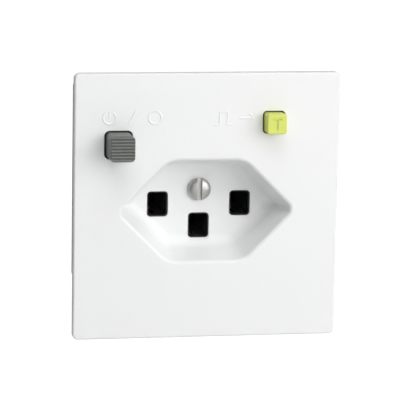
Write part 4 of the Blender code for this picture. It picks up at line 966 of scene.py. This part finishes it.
def helix(axis, start, length, mean_radius, wire_radius, turns, steps=28):
    """The centre line of a spring along Y or Z with closed end turns."""
    inner = length - 2 * wire_radius
    points = []
    total = int(turns * steps)
    for index in range(total + 1):
        turn = index / steps
        live = min(max((turn - 0.5) / (turns - 1), 0), 1)
        angle = 2 * math.pi * turn
        across = mean_radius * math.cos(angle)
        up = mean_radius * math.sin(angle)
        along = wire_radius + inner * live
        local = (across, along, up) if axis == "Y" else (across, up, along)
        points.append(Vector(start) + Vector(local))
    return points


def make_springs():
    """The coil springs of both buttons and the latch's."""
    for name, joint, wire_radius, travel in (
        ("on_off_spring", "switch_press", SWITCH_SPRING_WIRE, SWITCH_TRAVEL),
        ("test_spring", "test_press", TEST_SPRING_WIRE, TEST_TRAVEL),
    ):
        low, high, (x, _, z) = extents(name)
        mean = (high.x - low.x) / 2 - wire_radius
        length = high.y - low.y
        points = helix("Y", (x, low.y, z), length, mean, wire_radius, BUTTON_SPRING_TURNS)
        spring = wire(f"{name}_coil", points, wire_radius, SPRING_STEEL)
        placed(spring, name)
        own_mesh(spring)
    low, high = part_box("latch_spring")
    pin = middle("latch_pin")
    points = helix(
        "Z", (pin.x, pin.y, low.z), high.z - low.z, LATCH_SPRING_RADIUS, LATCH_SPRING_WIRE, LATCH_SPRING_TURNS
    )
    spring = wire("latch_spring_coil", points, LATCH_SPRING_WIRE, SPRING_STEEL)
    placed(spring, "latch_spring")


def make_solenoid_coil():
    """The solenoid's winding, with every turn of its outer layer showing."""
    low, high, centre = extents("solenoid_coil")
    outer = (high.z - low.z) / 2
    length = high.x - low.x
    turns = int(length / COIL_WIRE)
    inside = outer - COIL_BUILD / 2
    profile = [(inside, 0)]
    for turn in range(turns):
        for step in range(5):
            angle = math.pi * step / 4
            crown = outer - COIL_WIRE / 2 + COIL_WIRE / 2 * math.sin(angle)
            along = length * (turn + 0.5 - 0.5 * math.cos(angle)) / turns
            profile.append((crown, min(max(along, TINY), length - TINY)))
    profile.append((inside, length))
    start = (low.x, centre.y, centre.z)
    coil = turned("solenoid_turns", start, profile, ENAMELLED_WIRE, axis="X", steps=48)
    bore_ends = [(x, centre.y, centre.z) for x in (low.x - PAST, high.x + PAST)]
    cut(coil, rod("cut_coil_bore", *bore_ends, outer - COIL_BUILD))
    finished(coil, "solenoid_coil")


def make_ring_winding():
    """The sensing winding: wire wrapped all round the ring."""
    low, high, centre = extents("secondary_winding")
    outer = (high.x - low.x) / 2
    inner = ring_bore()
    depth = high.y - low.y
    core = Vector(((outer + inner) / 2, depth / 2))
    section = rectangle(outer - inner - WRAP_WIRE, depth - WRAP_WIRE, WRAP_CORNER, core, 4)
    steps = WRAPS * STEPS_PER_WRAP
    rings = []
    for step in range(steps):
        angle = 2 * math.pi * step / steps
        crown = WRAP_WIRE / 2 * abs(math.sin(math.pi * step / STEPS_PER_WRAP))
        ring = []
        for point in section:
            radius, along = point + (point - core).normalized() * crown
            x = centre.x + radius * math.cos(angle)
            z = centre.z + radius * math.sin(angle)
            ring.append(Vector((x, low.y + along, z)))
        rings.append(ring)
    winding = loft("ring_winding", rings, ENAMELLED_WIRE, ringed=True)
    finished(winding, "secondary_winding")


def ring_bore():
    """The radius of the ring winding's bore, measured on the CAD node."""
    centre = middle("secondary_winding")
    points = frame["nodes"]["secondary_winding"].data.vertices
    return min(math.hypot(v.co.x - centre.x, v.co.z - centre.z) for v in points)


def bent_wire(name, corners, bend, radius, finish, steps=10):
    """A round wire through the corners, with an arc of radius bend at each."""
    path = [Vector(corners[0])]
    for before, corner, after in zip(corners, corners[1:], corners[2:]):
        corner = Vector(corner)
        back = (Vector(before) - corner).normalized()
        ahead = (Vector(after) - corner).normalized()
        half = back.angle(ahead) / 2
        centre = corner + (back + ahead).normalized() * bend / math.sin(half)
        start = corner + back * bend / math.tan(half) - centre
        end = corner + ahead * bend / math.tan(half) - centre
        turn_axis = start.cross(end)
        sweep = math.pi - 2 * half
        for step in range(steps + 1):
            path.append(centre + Matrix.Rotation(sweep * step / steps, 3, turn_axis) @ start)
    path.append(Vector(corners[-1]))
    return wire(name, path, radius, finish, resolution=5)


def make_conductors():
    """The live and neutral conductors, from their terminals through the ring to the switch."""
    ring_x = middle("transformer_core").x
    for pole, finish, slot in (("live", WIRE_BROWN, "wire_brown"), ("neutral", WIRE_BLUE, "wire_blue")):
        low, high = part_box(f"{pole}_conductor")
        start_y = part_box(f"{pole}_terminal")[0].y - CONDUCTOR_GAP
        far_x = high.x - CONDUCTOR_RADIUS
        near_x = low.x + CONDUCTOR_RADIUS
        turn_y = low.y + CONDUCTOR_RADIUS
        back_y = high.y - CONDUCTOR_RADIUS
        z = low.z + CONDUCTOR_RADIUS
        route = [(far_x, start_y, z), (far_x, turn_y, z), (ring_x, turn_y, z), (ring_x, back_y, z)]
        route += [(near_x, back_y, z), (near_x, back_y, high.z)]
        name = f"{pole}_insulated_wire"
        conductor = bent_wire(name, route, CONDUCTOR_BEND, INSULATION_RADIUS, finish)
        finished(conductor, f"{pole}_conductor")


def make_board():
    """The circuit board with tracks and soldered joints on its outer face."""
    low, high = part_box("circuit_board")
    refined("circuit_board", BOARD_GREEN, THIN_EDGE, piece="board_laminate")
    column_pitch = (high.y - low.y) / (BOARD_COLUMNS + 1)
    row_pitch = (high.z - low.z) / (BOARD_ROWS + 1)
    sunk_x = high.x - BOARD_SUNK
    pads = []
    tracks = []
    for row in range(BOARD_ROWS):
        z = low.z + (row + 1) * row_pitch
        for column in range(BOARD_COLUMNS):
            place = (sunk_x, low.y + (column + 1) * column_pitch, z)
            pads.append(turned(f"pad_{row}_{column}", place, PAD_PROFILE, SOLDER, axis="X", steps=16))
        end = high.y - column_pitch - (row % 3) * TRACK_STEP
        tracks.append(block(
            f"track_{row}",
            (sunk_x, low.y + column_pitch, z - TRACK_HALF),
            (high.x + TRACK_PROUD, end, z + TRACK_HALF),
            BOARD_GREEN,
        ))
    finished(joined("solder_joints", pads), None)
    finished(joined("board_tracks", tracks), None)


def chip_body_box():
    """The chip's body, without the room for its legs."""
    low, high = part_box("amplifier_chip")
    body_high = (high.x - CHIP_STANDOFF, high.y, high.z - CHIP_LEG_ROOM)
    return (low.x, low.y, low.z + CHIP_LEG_ROOM), body_high


def make_chip():
    """The amplifier chip's body, with a dot by its first leg."""
    low, high = chip_body_box()
    chip = block("chip_body", low, high, EPOXY_BLACK)
    dot = (low[1] + CHIP_DOT[0], low[2] + CHIP_DOT[1])
    ends = ((low[0] - PAST, *dot), (low[0] + CHIP_DOT_DEPTH, *dot))
    cut(chip, rod("cut_dot", *ends, CHIP_DOT_RADIUS, steps=20))
    round_edges(chip, SOLID_EDGE)
    finished(chip, "amplifier_chip")


def chip_legs(board_face):
    low, high = chip_body_box()
    knee_x = board_face - CHIP_LEG_LENGTH
    legs = []
    for side, z in ((-1, low[2]), (1, high[2])):
        foot_z = z + side * CHIP_LEG_OUT
        for index in range(CHIP_LEGS):
            y = low[1] + CHIP_FIRST_LEG + index * CHIP_LEG_PITCH
            route = [(knee_x, y, z - side * CHIP_LEG_IN), (knee_x, y, foot_z), (board_face, y, foot_z)]
            name = f"chip_leg_{side}_{index}"
            legs.append(bent_wire(name, route, CHIP_LEG_BEND, CHIP_LEG_RADIUS, SOLDER, steps=4))
    return legs


def make_component_legs():
    """The metal legs of the chip, the thyristor and the varistor, down to the board."""
    board_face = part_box("circuit_board")[0].x - LEG_GAP
    legs = chip_legs(board_face)
    low, _, centre = extents("thyristor")
    for index in (-1, 0, 1):
        y = low.y + THYRISTOR_LEG[1]
        z = centre.z + index * THYRISTOR_LEG_PITCH
        ends = ((low.x + THYRISTOR_LEG[0], y, z), (board_face, y, z))
        legs.append(rod(f"thyristor_leg_{index}", *ends, THYRISTOR_LEG_RADIUS, SOLDER, steps=12))
    low, _, centre = extents("varistor")
    for side in (-1, 1):
        y = centre.y + side * VARISTOR_LEG_REACH
        ends = ((low.x + VARISTOR_LEG_START, y, centre.z), (board_face, y, centre.z))
        legs.append(rod(f"varistor_leg_{side}", *ends, VARISTOR_LEG_RADIUS, SOLDER, steps=12))
    finished(joined("component_legs", legs), None)


def make_thyristor():
    """The thyristor's round body with its flat side."""
    low, high, centre = extents("thyristor")
    centre_y = low.y + THYRISTOR_RADIUS
    flat = high.y - centre_y
    outline = [(min(up, flat), across) for across, up in circle(THYRISTOR_RADIUS, steps=40)]
    rings = []
    for depth, share in THYRISTOR_SHAPE:
        x = low.x + depth
        rings.append([Vector((x, centre_y + y * share, centre.z + z * share)) for y, z in outline])
    finished(loft("thyristor_body", rings, EPOXY_BLACK), "thyristor")


def make_capacitor():
    """The capacitor's can, with a rolled groove near its foot and a scored vent on its end."""
    low, high, centre = extents("capacitor")
    end = Vector((low.x, centre.y, centre.z))
    radius = (high.y - low.y) / 2
    length = high.x - low.x
    can = [
        (TINY, 0), (radius * 0.72, 0), (radius * 0.9, 0.08 * MM), (radius, 0.35 * MM),
        (radius, length - 1.3 * MM), (radius * 0.93, length - 1.05 * MM), (radius, length - 0.8 * MM),
        (radius, length - 0.1 * MM), (radius * 0.9, length),
    ]
    capacitor = turned("capacitor_can", end, can, CAPACITOR_SLEEVE, axis="X", steps=40)
    vents = []
    for angle in (45, 135):
        direction = Vector((0, math.cos(math.radians(angle)), math.sin(math.radians(angle))))
        reach = direction * radius * VENT_REACH
        vents.append(rod(f"cut_vent_{angle}", end - reach, end + reach, VENT_RADIUS, steps=8))
    cut(capacitor, *vents)
    finished(capacitor, "capacitor")


def make_varistor():
    """The varistor's dipped disc."""
    low, high, centre = extents("varistor")
    inner = (high.y - low.y) / 2 - VARISTOR_EDGE
    disc = [(TINY, 0)]
    for step in range(9):
        angle = math.pi * step / 8
        disc.append((inner + VARISTOR_EDGE * math.sin(angle), VARISTOR_HALF * (1 - math.cos(angle))))
    disc.append((TINY, 2 * VARISTOR_HALF))
    varistor = turned("varistor_disc", (low.x, centre.y, centre.z), disc, VARISTOR_BLUE, axis="X", steps=48)
    finished(varistor, "varistor")


def make_resistor():
    """The test resistor: a waisted body with colour bands, on its wire with the upright post."""
    low, high, (_, y, _) = extents("test_resistor")
    start = low.x + RESISTOR_START[0]
    z = low.z + RESISTOR_START[1]
    profile = RESISTOR_END + [(radius, RESISTOR_LENGTH - along) for radius, along in reversed(RESISTOR_END)]
    body = turned("resistor_body", (start, y, z), profile, RESISTOR_TAN, axis="X", steps=40)
    finished(body, "test_resistor")
    for index, (along, radius, finish) in enumerate(zip(BAND_PLACES, BAND_RADII, BANDS)):
        sunk = radius - BAND_SUNK
        ring = [(sunk, 0), (radius, BAND_EDGE), (radius, BAND_WIDTH - BAND_EDGE), (sunk, BAND_WIDTH)]
        band = turned(f"resistor_band_{index}", (start + along, y, z), ring, finish, axis="X", steps=40)
        finished(band, None)
    post_x = low.x + POST_INSET
    post_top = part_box("test_leaf")[1].z
    wires = [
        wire("lead", [(post_x, y, z), (high.x, y, z)], LEAD_RADIUS, SOLDER),
        wire("post", [(post_x, y, z - POST_SUNK), (post_x, y, post_top)], LEAD_RADIUS, SOLDER),
    ]
    finished(joined("resistor_leads", wires), None)


def make_contacts():
    """The switching contacts, the strips and the leaf of copper alloy, and the silvered sleeves."""
    for pole in ("live", "neutral"):
        refined(f"{pole}_bridge", COPPER_ALLOY, PRESSED_EDGE, body="contact_carrier")
        refined(f"{pole}_line_contact", COPPER_ALLOY, PRESSED_EDGE)
        refined(f"{pole}_load_contact", COPPER_ALLOY, PRESSED_EDGE)
    refined("earth_strap", COPPER_ALLOY, FINE_EDGE)
    refined("test_leaf", COPPER_ALLOY, THIN_EDGE, body="test_leaf")
    for pin in pin_places():
        refined(f"{pin}_sleeve", SILVERED, FINE_EDGE)


def make_terminals():
    """The wire clamps, their screws and the housing's screws."""
    for name in ("live", "neutral", "earth"):
        refined(f"{name}_terminal", ZINC, SOLID_EDGE)
        refined(f"{name}_terminal_screw", NICKEL, FINE_EDGE)
    for name in ("upper_housing_screw", "lower_housing_screw"):
        refined(name, NICKEL, FINE_EDGE)


def make_mechanism():
    """The switching and tripping parts inside."""
    refined("contact_carrier", INSULATOR_CREAM, CARRIER_EDGE, body="contact_carrier")
    refined("latch_lever", INSULATOR_CREAM, HOUSING_EDGE, body="latch_lever")
    refined("solenoid_bobbin", INSULATOR_CREAM, FINE_EDGE)
    refined("solenoid_yoke", ZINC, SOLID_EDGE)
    refined("trip_plunger", STEEL, FINE_EDGE, body="trip_plunger")
    refined("latch_pin", STEEL, FINE_EDGE)
    refined("screw_insert", BRASS, SOLID_EDGE)
    refined("transformer_core", CORE_GREY, SOLID_EDGE)


# Stage

PHOTO_AZIMUTH = -11
PHOTO_ELEVATION = 10
PHOTO_ROLL = 1.0
CAMERA_DISTANCE = 560 * MM
FRAME_WIDTH = 91.0 * MM
CAMERA_TARGET = (-0.75 * MM, 0.6 * MM)
SENSOR_WIDTH = 36
SURROUND = 0.23
FLOOR_DROP = 0.25
FLOOR_RADIUS = 8.0
FLOOR_THICKNESS = 5 * MM
FLOOR_GLOW = 0.85
LIGHTS = (  # name, azimuth, elevation, distance, size and power
    ("key", 41, 18, 0.6, 0.5, 2.4),
    ("top", -5, 60, 0.6, 0.4, 1.35),
    ("fill", 0, 2, 0.9, 0.7, 1.35),
    ("rear", 205, 35, 0.9, 0.8, 2.0),
)


def direction(azimuth, elevation):
    """The way out from the outlet at these angles in degrees, azimuth from the front."""
    azimuth = math.radians(azimuth)
    elevation = math.radians(elevation)
    across = math.cos(elevation)
    return Vector((math.sin(azimuth) * across, -math.cos(azimuth) * across, math.sin(elevation)))


def facing(target, out, distance):
    """The placing of a camera or light at this distance out from its target, and turned to it."""
    turn = (-out).to_track_quat("-Z", "Y").to_matrix().to_4x4()
    return Matrix.Translation(target + out * distance) @ turn


def make_camera():
    """A long-lens camera at the photograph's viewing angle."""
    target = Vector((CAMERA_TARGET[0], plate_front(), CAMERA_TARGET[1]))
    data = bpy.data.cameras.new("camera")
    data.sensor_width = SENSOR_WIDTH
    data.lens = SENSOR_WIDTH * CAMERA_DISTANCE / FRAME_WIDTH
    data.clip_start = 10 * MM
    data.clip_end = 10
    camera = linked(bpy.data.objects.new("camera", data))
    roll = Matrix.Rotation(math.radians(PHOTO_ROLL), 4, "Z")
    camera.matrix_world = facing(target, direction(PHOTO_AZIMUTH, PHOTO_ELEVATION), CAMERA_DISTANCE) @ roll
    bpy.context.scene.camera = camera


def area_light(name, azimuth, elevation, distance, size, power):
    """A soft square light that faces the outlet from this direction, in degrees, metres and watts."""
    data = bpy.data.lights.new(name, "AREA")
    data.shape = "SQUARE"
    data.size = size
    data.energy = power
    light = linked(bpy.data.objects.new(name, data))
    light.matrix_world = facing(Vector(), direction(azimuth, elevation), distance)


def make_world():
    """A soft grey surround that lights the outlet, seen by the camera as plain white."""
    world = bpy.data.worlds.new("studio")
    world.use_nodes = True
    tree = world.node_tree
    surround = tree.nodes["Background"]
    surround.inputs["Strength"].default_value = SURROUND
    surround.inputs["Color"].default_value = (1, 1, 1, 1)
    backdrop = node(tree, "ShaderNodeBackground", {"Color": (1, 1, 1, 1), "Strength": 1.0})
    mix = node(tree, "ShaderNodeMixShader")
    tree.links.new(node(tree, "ShaderNodeLightPath").outputs["Is Camera Ray"], mix.inputs[0])
    tree.links.new(surround.outputs[0], mix.inputs[1])
    tree.links.new(backdrop.outputs[0], mix.inputs[2])
    tree.links.new(mix.outputs[0], tree.nodes["World Output"].inputs["Surface"])
    bpy.context.scene.world = world
    bpy.context.scene.view_settings.view_transform = "Standard"


def make_floor():
    """A pale floor well below the outlet, which the camera sees as plain white like the surround."""
    made, tree, shader, place = new_material("floor")
    tone = blended(tree, ranged(tree, noise(tree, place, 3), 0, 1), (0.84, 0.84, 0.84), (0.87, 0.87, 0.87))
    tree.links.new(tone, shader.inputs["Base Color"])
    shader.inputs["Roughness"].default_value = 0.9
    shader.inputs["Emission Color"].default_value = (1, 1, 1, 1)
    seen = node(tree, "ShaderNodeLightPath").outputs["Is Camera Ray"]
    tree.links.new(ranged(tree, seen, 0, FLOOR_GLOW, 0, 1), shader.inputs["Emission Strength"])
    outline = circle(FLOOR_RADIUS, steps=96)
    heights = (-FLOOR_DROP, -FLOOR_DROP - FLOOR_THICKNESS)
    loft("floor", [[Vector((x, y, z)) for x, y in outline] for z in heights], made)


def make_stage():
    """The surround, the floor and the lights."""
    make_world()
    make_floor()
    for light in LIGHTS:
        area_light(*light)


def remove_strays():
    """Remove what a new Blender file may start with."""
    kept = set(frame["nodes"].values()) | set(frame["bodies"].values())
    for obj in list(bpy.data.objects):
        if obj not in kept:
            bpy.data.objects.remove(obj)


remove_strays()
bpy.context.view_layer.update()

COVER_WHITE = plastic(
    "cover_white_plastic", (0.815, 0.818, 0.82), 0.42, variation=0.004, unevenness=0.015, depth=0.0004 * MM
)
BUTTON_GREY = plastic("button_grey_plastic", (0.16, 0.17, 0.157), 0.5, variation=0.04)
BUTTON_LIME = plastic("button_lime_plastic", (0.64, 0.70, 0.14), 0.42, variation=0.02)
HOUSING_BLACK = plastic("housing_black_plastic", (0.022, 0.022, 0.024), 0.52, variation=0.12, unevenness=0.03)
INSULATOR_CREAM = plastic("insulator_cream_plastic", (0.62, 0.55, 0.4), 0.5, variation=0.04)
WIRE_BROWN = plastic("wire_brown_pvc", (0.14, 0.055, 0.025), 0.36, variation=0.08, grain=900)
WIRE_BLUE = plastic("wire_blue_pvc", (0.03, 0.13, 0.42), 0.36, variation=0.08, grain=900)
EPOXY_BLACK = plastic("moulded_epoxy", (0.02, 0.02, 0.021), 0.6, variation=0.2, grain=5200, depth=0.01 * MM)
CAPACITOR_SLEEVE = plastic("capacitor_shrink_sleeve", (0.02, 0.03, 0.08), 0.28, variation=0.1, grain=700)
VARISTOR_BLUE = plastic("varistor_dip", (0.025, 0.11, 0.34), 0.3, variation=0.1, grain=800, depth=0.02 * MM)
RESISTOR_TAN = plastic("resistor_lacquer", (0.55, 0.38, 0.2), 0.32, variation=0.05, grain=900)
BANDS = [
    plastic(f"resistor_band_{name}", colour, 0.35, variation=0.05, grain=900)
    for name, colour in (
        ("green", (0.03, 0.22, 0.06)),
        ("blue", (0.02, 0.06, 0.3)),
        ("black", (0.01, 0.01, 0.01)),
        ("gold", (0.42, 0.27, 0.06)),
    )
]
EVEN = (1, 1, 1)
NICKEL = metal("nickel_plate", (0.46, 0.455, 0.445), 0.36, EVEN, variation=0.04, depth=0.0005 * MM)
SOLDER = metal("tinned_wire", (0.70, 0.71, 0.72), 0.28, EVEN, depth=0.002 * MM)
ZINC = metal("zinc_plate", (0.62, 0.63, 0.65), 0.36, (12, 1, 1), variation=0.1)
STEEL = metal("ground_steel", (0.56, 0.56, 0.55), 0.26, (1, 8, 8), variation=0.06)
SPRING_STEEL = metal("spring_steel_strip", (0.46, 0.45, 0.43), 0.3, (1, 1, 10))
BRASS = metal("turned_brass", (0.74, 0.53, 0.22), 0.26, (1, 10, 1), variation=0.06)
COPPER_ALLOY = metal("copper_alloy_strip", (0.76, 0.45, 0.27), 0.32, (1, 10, 1), variation=0.1)
SILVERED = metal("silvered_contact", (0.52, 0.51, 0.49), 0.34, (1, 12, 1), variation=0.1)
ENAMELLED_WIRE = metal("enamelled_wire_copper", (0.50, 0.17, 0.06), 0.28, EVEN, variation=0.12)
CORE_GREY = plastic("core_nanocrystalline", (0.11, 0.11, 0.12), 0.45, variation=0.1, grain=3800)
BOARD_GREEN = laminate("board_green_mask")

make_cover()
make_button_guides()
make_switch_button()
make_test_button()
make_cover_screw()
make_marks()
make_front_housing()
make_rear_housing()
make_support_frame()
make_retaining_clips()
make_springs()
make_solenoid_coil()
make_ring_winding()
make_conductors()
make_board()
make_chip()
make_component_legs()
make_thyristor()
make_capacitor()
make_varistor()
make_resistor()
make_contacts()
make_terminals()
make_mechanism()
make_camera()
make_stage()
